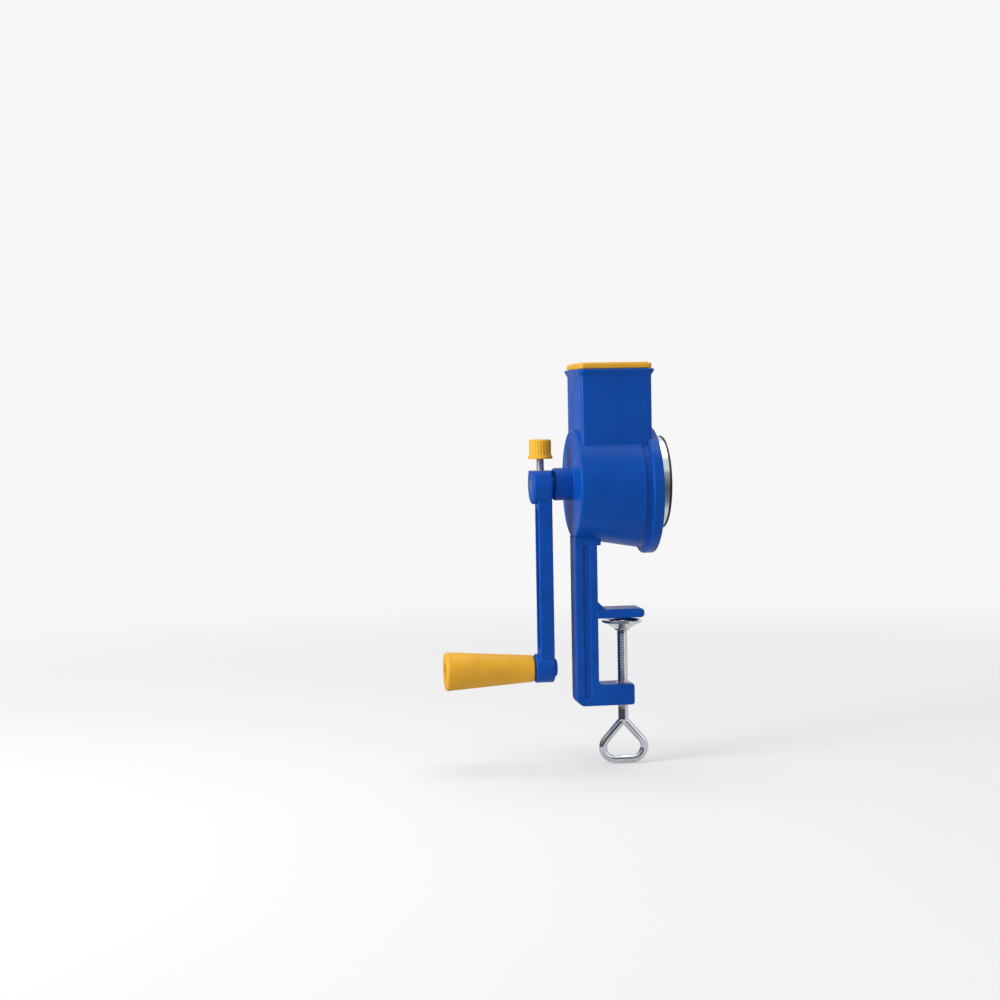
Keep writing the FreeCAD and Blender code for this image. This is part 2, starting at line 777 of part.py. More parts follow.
# ---- Pusher ----
def plate_rib(y):
    """One rib across the plate's top."""
    half = plate_width / 2 - plate_corner
    low = plate_bottom + plate_thickness
    high = low + plate_rib_height
    rib = box(hopper_middle - half, hopper_middle + half, y - plate_rib_width / 2, y + plate_rib_width / 2,
              low, high)
    return rib.makeChamfer(plate_rib_slope, edges_along(rib, X_AXIS, lambda c: c.z > (low + high) / 2))


def plate_skirt():
    """The frame under the plate that fits inside the plunger's open top."""
    width = plunger_width - 2 * plunger_wall - 2 * skirt_fit
    depth = plunger_depth - 2 * plunger_wall - 2 * skirt_fit
    bottom = plate_bottom - skirt_depth
    skirt = upright_block(hopper_middle, width, depth, bottom, plate_bottom, plunger_corner - plunger_wall)
    return skirt.cut(upright_block(hopper_middle, width - 2 * skirt_wall, depth - 2 * skirt_wall,
                                   bottom - past, plate_bottom, skirt_corner))


def pusher_plate():
    plate = upright_block(hopper_middle, plate_width, plate_depth, plate_bottom,
                          plate_bottom + plate_thickness, plate_corner)
    spacing = plate_depth / plate_ribs
    ribs = [plate_rib(-plate_depth / 2 + spacing * (step + 0.5)) for step in range(plate_ribs)]
    return plate.fuse(ribs + [plate_skirt()])


def pusher_plunger():
    """A box with a closed bottom, its open top against the plate."""
    bottom = plate_bottom - plunger_height
    outside = upright_block(hopper_middle, plunger_width, plunger_depth, bottom, plate_bottom, plunger_corner)
    foot_edges = [edge for edge in outside.Edges if edge.BoundBox.ZMax < bottom + past]
    outside = outside.makeFillet(plunger_foot_edge, foot_edges)
    inside = upright_block(hopper_middle, plunger_width - 2 * plunger_wall, plunger_depth - 2 * plunger_wall,
                           bottom + plunger_wall, plate_bottom + past, plunger_corner - plunger_wall)
    return outside.cut(inside)


PIECES = [body_casing, clamp_bracket, clamp_bush, bracket_screws, shaft_bush, thrust_washer, crank_washer,
          drum_shaft, drum_hub, drum_end_disc, drum_rivets, drum_shell, drum_mouth_band, drum_mouth_bead,
          crank_arm, hub_insert, handle_grip, handle_bolt, handle_nut, handle_washer,
          thumb_screw_shank, thumb_knob, clamp_screw, clamp_pad, pusher_plate, pusher_plunger]

os.makedirs("parts", exist_ok=True)
for piece in PIECES:
    export(piece.__name__, piece())
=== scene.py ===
"""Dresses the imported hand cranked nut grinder, one operator for each piece, and puts it in a small studio."""

import json
import math

import bmesh
import bpy
from bpy.props import FloatProperty, FloatVectorProperty, IntProperty, PointerProperty
from mathutils import Matrix, Vector


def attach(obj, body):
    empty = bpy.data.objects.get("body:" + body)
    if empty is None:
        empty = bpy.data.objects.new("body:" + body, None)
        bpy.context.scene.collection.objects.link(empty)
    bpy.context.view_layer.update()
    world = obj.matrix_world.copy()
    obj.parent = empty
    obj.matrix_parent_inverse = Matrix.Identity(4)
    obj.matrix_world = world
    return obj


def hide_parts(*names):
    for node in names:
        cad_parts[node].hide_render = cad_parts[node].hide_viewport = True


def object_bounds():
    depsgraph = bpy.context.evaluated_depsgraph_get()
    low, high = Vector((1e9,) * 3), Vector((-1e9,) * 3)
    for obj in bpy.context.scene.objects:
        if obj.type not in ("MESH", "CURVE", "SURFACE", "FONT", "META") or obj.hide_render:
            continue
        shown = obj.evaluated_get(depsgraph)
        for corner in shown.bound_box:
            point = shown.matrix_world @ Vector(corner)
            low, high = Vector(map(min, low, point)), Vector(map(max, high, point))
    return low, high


bl_info = {
    "name": "Nut Grinder Builder",
    "version": (1, 0, 0),
    "blender": (4, 5, 0),
    "location": "3D View > Sidebar > Grinder",
    "description": "Builds a hand cranked nut grinder over its packed frame, with a small studio",
    "category": "Add Mesh",
}

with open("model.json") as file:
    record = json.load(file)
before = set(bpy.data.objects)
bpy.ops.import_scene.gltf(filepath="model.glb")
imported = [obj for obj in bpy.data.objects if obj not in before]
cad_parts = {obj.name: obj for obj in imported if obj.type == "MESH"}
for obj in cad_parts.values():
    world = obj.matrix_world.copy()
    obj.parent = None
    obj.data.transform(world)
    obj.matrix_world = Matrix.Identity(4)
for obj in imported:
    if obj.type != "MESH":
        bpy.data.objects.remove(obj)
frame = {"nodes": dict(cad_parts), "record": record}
FRAME_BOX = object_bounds()
HOME = {node: body for body, members in frame["record"]["behaviour"]["bodies"].items() for node in members}

# Sizes are in millimetres here, and meshes are made in metres.
MM = 0.001
PAST = 1.0                  # how far a cutter or a buried end runs past a face
TIP = 0.02                  # the radius at which a turned skin closes on its axis
AROUND = 96                 # points round a turned piece
FINE_AROUND = 192           # points round the housing and the drum's mouth
CURVE_STEPS = 6             # steps round a rounded corner
FEW_STEPS = 3               # steps round a small one
MOST_OF_SIDE = 0.499        # a rounded corner takes just under half of each side
SHARP_ANGLE = 34            # degrees between two faces from which their edge stays sharp
FLAT_ANGLE = 0.2            # degrees within which neighbouring faces count as one flat
SAME_PLACE = 1e-7           # metres within which a surface's own points are one
CUT_WELD = 2e-6             # metres within which the points that a cut leaves are welded

# ---- Casing ----
AXIS = 105.0
CLOSED_END, OPEN_END = -38.5, 24.5
CLOSED_RADIUS, OPEN_RADIUS = 42.0, 46.9
OPEN_DROP = 5.9
WALL = 2.4
CLOSED_EDGE = 1.6
CONE_LEAD, CONE_STEPS = 6.0, 6
GROOVE_START, GROOVE_END = 11.5, 16.5
GROOVE_DEPTH, GROOVE_EDGE = 0.9, 0.25
GROOVE_LEAD, GROOVE_TAIL = 1.0, 0.6
FLANGE_RADIUS, FLANGE_EDGE, FLANGE_ROOT = 49.6, 0.8, 0.5
FLANGE_FRONT = 2.0          # how much of the flange is centred on the mouth
MOUTH_EDGE = 0.7
FLANGE_CAP = 20.0           # radius of the last face, which the chamber cuts away
BOSS_END, BOSS_RADIUS = -54.1, 12.65
BOSS_CHAMFER, BOSS_TIP_EDGE, BOSS_EDGE, BOSS_ROOT = 1.6, 0.4, 0.8, 0.9
INNER_BOSS_END, INNER_BOSS_RADIUS, INNER_BOSS_EDGE = -32.5, 10.5, 0.5
BUSH_RADIUS = 6.5
BORE_CHAMFER = 0.4
HOPPER_MIDDLE, HOPPER_WIDTH, HOPPER_DEPTH = -7.75, 55.5, 59.0
HOPPER_WALL, HOPPER_CORNER, WELL_CORNER = 2.2, 3.0, 1.2
RIM, RIM_EDGE = 193.5, 0.7
LIP_HEIGHT, LIP_BAND, LIP_REACH = 5.2, 1.8, 2.2
LIP_ROOT, LIP_EDGE, LIP_STEPS = 1.2, 0.8, 5

# ---- Bracket ----
POST_OUTER, POST_MIDDLE, POST_INNER, POST_HALF = -38.5, -29.75, -21.0, 11.0
POST_TOP, POST_EDGE = 98.0, 0.9
FOOT_TOP, FOOT_BOTTOM, FOOT_REACH = -52.0, -68.5, 7.2
FOOT_ROOT, FOOT_CORNER, FOOT_HEEL = 3.0, 2.0, 6.5
JAW_REACH, JAW_THICKNESS, JAW_HALF = 15.5, 7.0, 13.0
JAW_NOSE, JAW_EDGE = 2.8, 1.2
GUSSET_REACH, GUSSET_LOW, GUSSET_HIGH = 8.0, 5.0, 14.0
SADDLE_END, SADDLE_BASE, SADDLE_TOP = -17.8, 57.0, 96.0
SADDLE_CORNER, SADDLE_INSET = 2.0, 0.06
CHANNEL_LOW, CHANNEL_WIDTH, CHANNEL_DEPTH = -62.0, 5.5, 1.2
CHANNEL_CORNER, CHANNEL_ROOT, CHANNEL_FLARE = 1.2, 0.5, 0.4
ROD_HOLE = 4.3
CLAMP_BUSH_RADIUS, CLAMP_BUSH_DEPTH = 5.5, 12.0

# ---- Drum ----
DRUM_START, DRUM_END = -29.4, 25.6
DRUM_SMALL, DRUM_MOUTH = 31.5, 34.6
TIN = 0.8
BAND_START, BAND_END = 21.1, 32.7
BAND_START_EDGE, BAND_END_EDGE = 0.25, 0.2
BEAD, BEAD_AROUND = 0.85, 20
HOLE_ROWS, HOLES_AROUND, HOLE_RADIUS = 7, 18, 1.7
FIRST_ROW, ROW_PITCH = 9.5, 6.0
# A burr's rim rises to its full height at BURR_POINTS places and falls between them.
BURR_POINTS, BURR_MEAN, BURR_WAVE = 4, 0.7, 0.3
PATCH_STEPS = 16
# A punched hole from its patch's edge in, through its bore and back out, as (radius, height in teeth). Where
# there is no radius the line is the patch's edge, and a height below 0 is the sheet's inner face.
PUNCHED = ((None, 0), (2.6, 0), (2.15, 0.12), (1.9, 0.5), (HOLE_RADIUS + 0.06, 1.0), (HOLE_RADIUS, 0.9),
           (HOLE_RADIUS, -1), (HOLE_RADIUS + 0.35, -1), (None, -1))

# ---- Crank and handle ----
CRANK_FACE, CRANK_OUTER = -55.2, -70.8
ARM_OUTER, ARM_HALF, ARM_EDGE, ARM_INSET = -66.5, 8.5, 1.2, 0.05
HUB_MIDDLE = (CRANK_FACE + CRANK_OUTER) / 2
HUB_RADIUS, HUB_TOP, HUB_EDGE = 15.2, 115.8, 2.0
# The block that cuts the hub flat on top.
HUB_CUT_WIDTH, HUB_CUT_DEPTH, HUB_CUT_HEIGHT, HUB_CUT_CORNER = 40, 60, 10, 1.0
CRANK_END = -38.5
CRANK_END_OUTER, CRANK_END_RADIUS, CRANK_END_EDGE = -70.2, 11.3, 1.4
BUMP_FACE, BUMP_RADIUS, BUMP_ROOT, BUMP_EDGE = -52.9, 6.8, 0.5, 0.7
ARM_POCKET_HALF, ARM_POCKET_LOW, ARM_POCKET_HIGH = 5.5, -24.2, 86.8
ARM_POCKET_CORNER, ARM_POCKET_DEPTH, ARM_POCKET_ROOT, ARM_POCKET_FLARE = 4.9, 3.65, 0.8, 0.5
SHAFT_BORE = 4.55
BOLT_RADIUS = 3.0
NUT_SIDES, NUT_ACROSS_FLATS, NUT_DEPTH = 6, 10, 5.0
NUT_RADIUS = NUT_ACROSS_FLATS / math.sqrt(3)
INSERT_RADIUS, INSERT_FLOOR = 4.6, 110.8
THUMB_BORE = 3.2
GRIP_OUTER, GRIP_INNER = -140.7, -71.3
GRIP_OUTER_RADIUS, GRIP_INNER_RADIUS, GRIP_BORE = 15.15, 10.35, 3.05
GRIP_INNER_EDGE, GRIP_OUTER_EDGE = 1.0, 2.2
BOLT_POCKET_FLOOR, BOLT_POCKET_RADIUS = -133.2, 6.5
BOLT_POCKET_EDGE, BOLT_POCKET_ROOT = 0.6, 0.4

# ---- Thumb screw and clamp screw ----
SCREW_X = -63.0
SCREW_RADIUS, SCREW_END_RADIUS, SCREW_CHAMFER = 2.9, 2.5, 0.4
THUMB_START, THUMB_STOP = 109.0, 134.1
THREAD_AROUND, THREAD_STEPS = 48, 10
CREST = 0.4                 # the share of a thread's pitch that is its flat crest
THUMB_THREAD_DEPTH, CLAMP_THREAD_DEPTH = 0.35, 0.16
CLAMP_THREAD_START, CLAMP_THREAD_STOP = -73.0, -12.5
KNOB_BOTTOM, KNOB_TOP, KNOB_STEPS = 125.1, 140.1, 4
# The knob's half section, (z, radius, rounding): the shank's hole, the flange, the grip and its top.
KNOB_SECTION = [(134.15, TIP), (134.15, 2.95), (KNOB_BOTTOM, 2.95, 0.3), (KNOB_BOTTOM, 9.65, 0.4),
                (KNOB_BOTTOM + 1.4, 9.65, 0.6), (KNOB_BOTTOM + 3.4, 8.6, 0.8), (KNOB_TOP, 8.6, 1.2),
                (KNOB_TOP, TIP)]
FLUTE_START, FLUTE_RISE, FLUTE_DEPTH = 3.2, 0.6, 0.3
FLUTE_POINTS, FLUTE_SHARPNESS = 10, 1.5
FLUTED_FROM = 6.0           # only the knob's outside, past this radius, has flutes
ROD_RADIUS, ROD_END, ROD_END_STEPS = 4.0, 3.4, 12
# The clamp rod's top, (z, radius): its shoulder, the neck that the pad turns on and the riveted head.
ROD_TOP = [(-11.5, ROD_RADIUS), (-10.9, 3.4), (-10.9, 2.4), (-4.9, 2.4), (-4.9, 3.8), (-4.7, 4.0),
           (-4.3, 3.9), (-3.7, 2.9), (-3.5, 2.2), (-3.5, TIP)]
# The pad's half section, (z, radius, rounding).
PAD_SECTION = [(-5.2, 2.7, 0.3), (-5.2, 11.5, 1.2), (-2.6, 14.1, 0.5), (-2.6, 16.0, 0.7), (-4.2, 16.0, 0.7),
               (-9.6, 6.0, 1.5), (-10.6, 6.0, 0.4), (-10.6, 2.7, 0.3)]
LOOP_RADIUS, LOOP_AROUND, LOOP_STEPS, LOOP_GAP = 3.2, 32, 14, 1.2
LOOP_APEX, LOOP_LOW, LOOP_HALF, LOOP_CORNER, LOOP_APEX_CORNER = -81.0, -112.8, 16.55, 9.5, 3.6

# ---- Pusher ----
PLATE_BOTTOM, PLATE_TOP = 193.8, 197.8
PLATE_WIDTH, PLATE_DEPTH, PLATE_CORNER = 56.0, 59.2, 2.6
PLATE_LOW_EDGE, PLATE_TOP_EDGE = 0.6, 0.9
RIB_FOOT, RIB_CREST, RIB_SINK, RIB_SHOULDER, RIB_HEIGHT = 1.5, 0.95, 0.6, 0.25, 0.8
RIB_HALF_LENGTH, RIB_SHOULDER_EDGE, RIB_CREST_EDGE = 25.4, 0.2, 0.3
PLUNGER_WIDTH, PLUNGER_DEPTH, PLUNGER_BOTTOM = 46.0, 50.0, 151.8
PLUNGER_WALL, PLUNGER_CORNER, PLUNGER_EDGE, PLUNGER_ROOT = 2.0, 4.0, 1.2, 0.4
PLUNGER_CAP = 3.4           # how far in the plunger's floor is closed by one face

# ---- Studio, in metres and degrees but for the floor's rings ----
FLOOR_GAP = 0.0004
FLOOR_RINGS, FLOOR_AROUND = (1, 400, 1500, 9000), 64
AIM = (-0.02, 0, 0.06)
KEY_PLACE, KEY_SIZE = (-1.35, -0.45, 0.5), 0.7
FILL_PLACE, FILL_SIZE = (0.9, -1.3, 0.5), 1.2
TOP_PLACE, TOP_SIZE = (0.0, 0.1, 1.5), 1.2
CAMERA_PLACE = (-0.3014, -1.4090, 0.1652)
CAMERA_ANGLES = (-8.33, 2.87, -1.04)        # azimuth, elevation, roll
CAMERA_LENS, CAMERA_REACH = 66.17, 50
# A card whose glow is a painted reflection in the gloss of the pieces: where it turns round, its section, and
# its dark and pale glow.
CARD_START, CARD_TURN, CARD_STEPS = -168, 198, 24
CARD_SECTION = ((0.1, -0.112), (0.9, -0.112), (0.9, 0.6))       # (radius, height)
CARD_DARK_GLOW, CARD_PALE_GLOW = (0.08, 0.09, 0.11, 1), (0.4, 0.41, 0.43, 1)


# ---- Outlines and skins ----
def rounded(corners, closed=True, steps=CURVE_STEPS):
    """A smooth line through corners given as (u, v) or (u, v, radius)."""
    line = []
    count = len(corners)
    for index, corner in enumerate(corners):
        point = Vector(corner[:2])
        radius = corner[2] if len(corner) > 2 else 0
        if not radius or (not closed and index in (0, count - 1)):
            line.append(point)
            continue
        back = Vector(corners[index - 1][:2]) - point
        on = Vector(corners[(index + 1) % count][:2]) - point
        half = back.angle(on) / 2
        cut = min(radius / math.tan(half), MOST_OF_SIDE * back.length, MOST_OF_SIDE * on.length)
        radius = cut * math.tan(half)
        centre = point + (back.normalized() + on.normalized()).normalized() * radius / math.sin(half)
        first = point + back.normalized() * cut - centre
        last = point + on.normalized() * cut - centre
        turn = math.atan2(first.x * last.y - first.y * last.x, first.dot(last))
        for step in range(steps + 1):
            line.append(centre + Matrix.Rotation(turn * step / steps, 2) @ first)
    return line


def rounded_rectangle(u, v, width, height, corner):
    half_u, half_v = width / 2, height / 2
    return rounded([(u - half_u, v - half_v, corner), (u + half_u, v - half_v, corner),
                    (u + half_u, v + half_v, corner), (u - half_u, v + half_v, corner)])


def inset(outline, amount):
    """The outline moved inward by an amount, or outward where that is negative."""
    count = len(outline)
    area = sum(outline[i - 1].cross(outline[i]) for i in range(count))
    side = 1 if area > 0 else -1
    moved = []
    for index, point in enumerate(outline):
        back = (point - outline[index - 1]).normalized()
        on = (outline[(index + 1) % count] - point).normalized()
        first, second = Vector((-back.y, back.x)) * side, Vector((-on.y, on.x)) * side
        moved.append(point + (first + second) / (1 + first.dot(second)) * amount)
    return moved


def skin(rings, closed=False):
    """A closed surface over rings of equal length: capped, or joined from the last ring to the first."""
    size = len(rings[0])
    points = [point for ring in rings for point in ring]
    faces = []
    for level in range(len(rings) if closed else len(rings) - 1):
        low, high = level * size, (level + 1) % len(rings) * size
        for step in range(size):
            after = (step + 1) % size
            faces.append((low + step, low + after, high + after, high + step))
    if not closed:
        faces.append(tuple(range(size)))
        faces.append(tuple(range(len(points) - size, len(points))))
    return points, faces


def open_skin(rings):
    """A surface over rings of equal length that stays open at both ends."""
    points, faces = skin(rings)
    return points, faces[:-2]


def turns(count):
    return [2 * math.pi * step / count for step in range(count)]


def circle_x(x, z, radius, count=AROUND):
    return [(x, radius * math.sin(a), z + radius * math.cos(a)) for a in turns(count)]


def circle_z(x, z, radius, count=AROUND):
    return [(x + radius * math.cos(a), radius * math.sin(a), z) for a in turns(count)]


def turned_x(profile, z=AXIS, closed=False, count=AROUND):
    """A surface of revolution about a line along X, from (x, radius) points."""
    return skin([circle_x(x, z, radius, count) for x, radius in profile], closed)


def turned_z(profile, x=0.0, closed=False):
    """A surface of revolution about a line along Z, from (z, radius) points."""
    return skin([circle_z(x, z, radius) for z, radius in profile], closed)


def bore_x(start, stop, radius, z, count=AROUND):
    """A cutter for a plain hole along X."""
    return turned_x([(start, radius), (stop, radius)], z, count=count)


def bore_z(start, stop, radius, x):
    """A cutter for a plain hole along Z."""
    return turned_z([(start, radius), (stop, radius)], x)


def round_end(height, edge, side):
    """Levels (height, inset) round one end of a block, side -1 for its low end and 1 for its high end."""
    arc = []
    for step in range(CURVE_STEPS + 1):
        angle = math.pi / 2 * step / CURVE_STEPS
        arc.append((height - side * edge * (1 - math.cos(angle)), edge * (1 - math.sin(angle))))
    return arc if side < 0 else arc[::-1]


def both_ends(low, high, edge):
    """Levels through a block with the same rounding at both ends."""
    return round_end(low, edge, -1) + round_end(high, edge, 1)


def flared_end(height, flare):
    """Levels round the mouth of a cutter, which leave a round edge on what it cuts."""
    arc = []
    for step in range(CURVE_STEPS + 1):
        angle = math.pi / 2 * step / CURVE_STEPS
        arc.append((height - flare + flare * math.sin(angle), -flare * (1 - math.cos(angle))))
    return arc + [(height + PAST, -flare)]


def block(outline, levels, place):
    """A closed block over an outline, from levels (height, inset). Place makes a point of (u, v, height)."""
    return skin([[place(u, v, height) for u, v in inset(outline, amount)] for height, amount in levels])


def upright(u, v, height):
    return u, v, height


def front(u, v, height):
    return u, height, v


def sideways(u, v, height):
    return height, u, v


# ---- Objects ----
def solid(name, *skins):
    """A mesh object from surfaces in millimetres, which join where their points meet."""
    mesh = bmesh.new()
    for points, faces in skins:
        made = [mesh.verts.new(Vector(point) * MM) for point in points]
        for face in faces:
            mesh.faces.new([made[index] for index in face])
    bmesh.ops.remove_doubles(mesh, verts=mesh.verts, dist=SAME_PLACE)
    bmesh.ops.recalc_face_normals(mesh, faces=mesh.faces)
    data = bpy.data.meshes.new(name)
    mesh.to_mesh(data)
    mesh.free()
    made = bpy.data.objects.new(name, data)
    bpy.context.scene.collection.objects.link(made)
    return made


def combine(base, operation, *skins):
    """Adds closed surfaces to a solid or cuts them from it, one after the other."""
    for number, tool_skin in enumerate(skins):
        tool = solid(base.name + "_tool", tool_skin)
        modifier = base.modifiers.new("shape", "BOOLEAN")
        modifier.operation = operation
        modifier.object = tool
        modifier.solver = "EXACT"
        shaped = bpy.data.meshes.new_from_object(base.evaluated_get(bpy.context.evaluated_depsgraph_get()))
        base.modifiers.clear()
        base.data, old = shaped, base.data
        bpy.data.meshes.remove(old)
        bpy.data.meshes.remove(tool.data)
        if not shaped.polygons:
            raise RuntimeError(f"{base.name}: step {number} of {operation} left nothing")
        tidy(base)


def tidy(made, flat=0.0):
    """Welds what a cut left nearly touching, and joins neighbouring faces that lie flat within an angle."""
    mesh = bmesh.new()
    mesh.from_mesh(made.data)
    bmesh.ops.remove_doubles(mesh, verts=mesh.verts, dist=CUT_WELD)
    bmesh.ops.dissolve_degenerate(mesh, edges=mesh.edges, dist=CUT_WELD)
    if flat:
        bmesh.ops.dissolve_limit(mesh, angle_limit=math.radians(flat), verts=mesh.verts, edges=mesh.edges,
                                 delimit={"NORMAL"})
    mesh.to_mesh(made.data)
    mesh.free()


def dress(made, finish, *stands_for):
    """Gives a piece its shading, its finish and its body, and hides the nodes that it stands for."""
    made.data.shade_smooth()
    made.data.set_sharp_from_angle(angle=math.radians(SHARP_ANGLE))
    weighted = made.modifiers.new("weighted", "WEIGHTED_NORMAL")
    weighted.keep_sharp = True
    made.data.materials.clear()
    made.data.materials.append(finish_for(finish))
    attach(made, HOME[stands_for[0]])
    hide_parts(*stands_for)


# ---- Finishes ----
class Finish:
    """A material whose nodes are added one at a time."""

    def __init__(self, name, metallic=0.0, specular=0.5):
        self.material = bpy.data.materials.new(name)
        self.material.use_nodes = True
        self.tree = self.material.node_tree
        self.shader = self.tree.nodes["Principled BSDF"]
        self.shader.inputs["Metallic"].default_value = metallic
        self.shader.inputs["Specular IOR Level"].default_value = specular
        self.place = self.add("ShaderNodeTexCoord").outputs["Object"]

    def add(self, kind, inputs=(), **settings):
        """A node with its settings and inputs, which are (socket, value or output) pairs."""
        node = self.tree.nodes.new(kind)
        for name, value in settings.items():
            setattr(node, name, value)
        for socket, value in inputs:
            if isinstance(value, bpy.types.NodeSocket):
                self.tree.links.new(value, node.inputs[socket])
            else:
                node.inputs[socket].default_value = value
        return node

    def link(self, output, name):
        self.tree.links.new(output, self.shader.inputs[name])

    def show(self, node):
        """Makes a node's output what the surface shows, in place of the shader's own."""
        self.tree.links.new(node.outputs[0], self.tree.nodes["Material Output"].inputs["Surface"])

    def vector(self, operation, first, second=(0, 0, 0)):
        return self.add("ShaderNodeVectorMath", [(0, first), (1, second)], operation=operation)

    def stretched(self, scale):
        return self.add("ShaderNodeMapping", [("Vector", self.place), ("Scale", scale)]).outputs[0]

    def noise(self, scale, detail=4.0, vector=None):
        return self.add("ShaderNodeTexNoise", [("Vector", vector or self.place), ("Scale", scale),
                                               ("Detail", detail)]).outputs[0]

    def ranged(self, value, low, high, start=0.35, stop=0.65):
        return self.add("ShaderNodeMapRange", [("Value", value), ("From Min", start), ("From Max", stop),
                                               ("To Min", low), ("To Max", high)]).outputs[0]

    def blended(self, share, first, second):
        """A mix of two colours, whose sockets have no names of their own."""
        return self.add("ShaderNodeMix", [(0, share), (6, first), (7, second)],
                        data_type="RGBA").outputs[2]

    def plus(self, first, second):
        return self.add("ShaderNodeMath", [(0, first), (1, second)]).outputs[0]

    def times(self, first, second):
        return self.add("ShaderNodeMath", [(0, first), (1, second)], operation="MULTIPLY").outputs[0]

    def soft_edges(self, radius):
        """The bevelled normal and a mask that is 1 on edges and 0 elsewhere."""
        bevel = self.add("ShaderNodeBevel", [("Radius", radius)], samples=6).outputs[0]
        true_normal = self.add("ShaderNodeNewGeometry").outputs["Normal"]
        match = self.vector("DOT_PRODUCT", bevel, true_normal)
        return bevel, self.ranged(match.outputs["Value"], 1.0, 0.0, start=0.9, stop=0.995)

    def bump(self, height, distance, normal, strength):
        inputs = [("Height", height), ("Distance", distance), ("Strength", strength), ("Normal", normal)]
        self.link(self.add("ShaderNodeBump", inputs).outputs[0], "Normal")

    def glow_within(self, weight, scale):
        """Light that scatters a little way under the surface."""
        self.shader.inputs["Subsurface Weight"].default_value = weight
        self.shader.inputs["Subsurface Scale"].default_value = scale


def shade(colour, factor):
    return tuple(min(1.0, channel * factor) for channel in colour[:3]) + (1.0,)


def paler(colour):
    """A plastic's colour where its moulded edge has worn."""
    return tuple(0.8 * channel + 0.07 for channel in colour[:3]) + (1.0,)


def moulded(name, colour, roughness, specular, edge, mottle):
    """A moulded plastic: a slightly cloudy colour, fine orange peel, soft edges that wear a little paler."""
    finish = Finish(name, specular=specular)
    clouds = finish.plus(finish.noise(14.0, detail=2.0), finish.noise(70.0, detail=6.0))
    body = finish.blended(finish.ranged(clouds, 0.0, 1.0, start=0.75, stop=1.25), shade(colour, 1 - mottle),
                          shade(colour, 1 + mottle))
    bevel, edges = finish.soft_edges(edge)
    rubbed = finish.ranged(finish.noise(140.0, detail=3.0), 0.05, 0.35, start=0.42, stop=0.7)
    worn = finish.times(edges, rubbed)
    finish.link(finish.blended(worn, body, paler(colour)), "Base Color")
    sheen = finish.ranged(finish.noise(60.0, detail=6.0), roughness - 0.05, roughness + 0.06)
    finish.link(sheen, "Roughness")
    orange_peel = finish.noise(900.0, detail=2.0)
    finish.bump(orange_peel, distance=0.00002, normal=bevel, strength=0.6)
    return finish


def blue_plastic(colours):
    return moulded("moulded_blue", colours.casing, roughness=0.38, specular=0.14, edge=0.0007, mottle=0.1)


def yellow_plastic(colours):
    finish = moulded("moulded_yellow", colours.grips, roughness=0.48, specular=0.2, edge=0.0005, mottle=0.1)
    finish.glow_within(weight=0.06, scale=0.004)
    return finish


def white_plastic(colours):
    finish = moulded("moulded_white", colours.plunger, roughness=0.42, specular=0.4, edge=0.0005, mottle=0.03)
    finish.glow_within(weight=0.12, scale=0.006)
    return finish


def metal(name, colour, roughness, spread, grain, grain_depth):
    """A bare or plated metal: clouded tone and roughness, drawing or turning lines, brighter edges."""
    finish = Finish(name, metallic=1.0)
    bevel, edges = finish.soft_edges(radius=0.0003)
    clouds = finish.noise(90.0, detail=6.0)
    tone = finish.blended(finish.ranged(clouds, 0.0, 1.0), shade(colour, 0.92), shade(colour, 1.05))
    finish.link(finish.blended(finish.times(edges, 0.5), tone, shade(colour, 1.25)), "Base Color")
    sheen = finish.ranged(finish.noise(220.0, detail=6.0), roughness - spread, roughness + spread)
    finish.link(sheen, "Roughness")
    lines = finish.noise(60.0, detail=3.0, vector=finish.stretched(grain))
    finish.bump(lines, distance=grain_depth, normal=bevel, strength=0.5)
    return finish


def zinc_steel(colours):
    return metal("zinc_plate", colours.zinc, roughness=0.34, spread=0.08, grain=(8, 8, 30),
                 grain_depth=0.00001)


def tinplate(colours):
    """Tin with painted light: all of it nearer the axis than the mouth band's outer face, the drum within the
    housing, is painted brighter, and the band's outer face stays duller.
    """
    finish = metal("bright_tinplate", colours.tin, roughness=0.25, spread=0.035, grain=(30, 2, 2),
                   grain_depth=0.000004)
    outside = finish.shader.inputs["Base Color"].links[0].from_socket
    from_axis = finish.vector("SUBTRACT", finish.place, (0, 0, AXIS * MM)).outputs[0]
    across_axis = finish.vector("MULTIPLY", from_axis, (0, 1, 1)).outputs[0]
    radius = finish.vector("LENGTH", across_axis).outputs["Value"]
    # painted light: tin nearer the axis than the band's outer face is brighter, lifting the shade within the
    # housing
    inside = finish.ranged(radius, 1.0, 0.0, start=(DRUM_MOUTH + 0.3) * MM, stop=(DRUM_MOUTH + 0.5) * MM)
    finish.link(finish.blended(inside, outside, shade(colours.tin, 1.36)), "Base Color")
    return finish


def chrome(colours):
    return metal("chrome_plate", colours.chrome, roughness=0.11, spread=0.04, grain=(12, 12, 2),
                 grain_depth=0.000004)


# A dark metal: the handle's washer is dark, and on the drum's mouth bead the dark is painted shade along its
# rolled edge.
def dark_steel(colours):
    finish = metal("dark_metal_painted_shade_finish", colours.dark, roughness=0.42, spread=0.08, grain=(10, 10, 10),
                   grain_depth=0.00001)
    finish.shader.inputs["Metallic"].default_value = 0.6
    return finish


def bush_brass(colours):
    return metal("turned_brass", colours.brass, roughness=0.3, spread=0.07, grain=(4, 30, 30),
                 grain_depth=0.00001)


MAKERS = {"blue_plastic": blue_plastic, "yellow_plastic": yellow_plastic, "white_plastic": white_plastic,
          "zinc_steel": zinc_steel, "tinplate": tinplate, "chrome": chrome, "dark_steel": dark_steel,
          "bush_brass": bush_brass}
MADE = {}


def finish_for(slot):
    """The finish of a material slot, made the first time it is asked for."""
    if slot not in MADE:
        MADE[slot] = MAKERS[slot](bpy.context.scene.grinder_colours).material
    return MADE[slot]


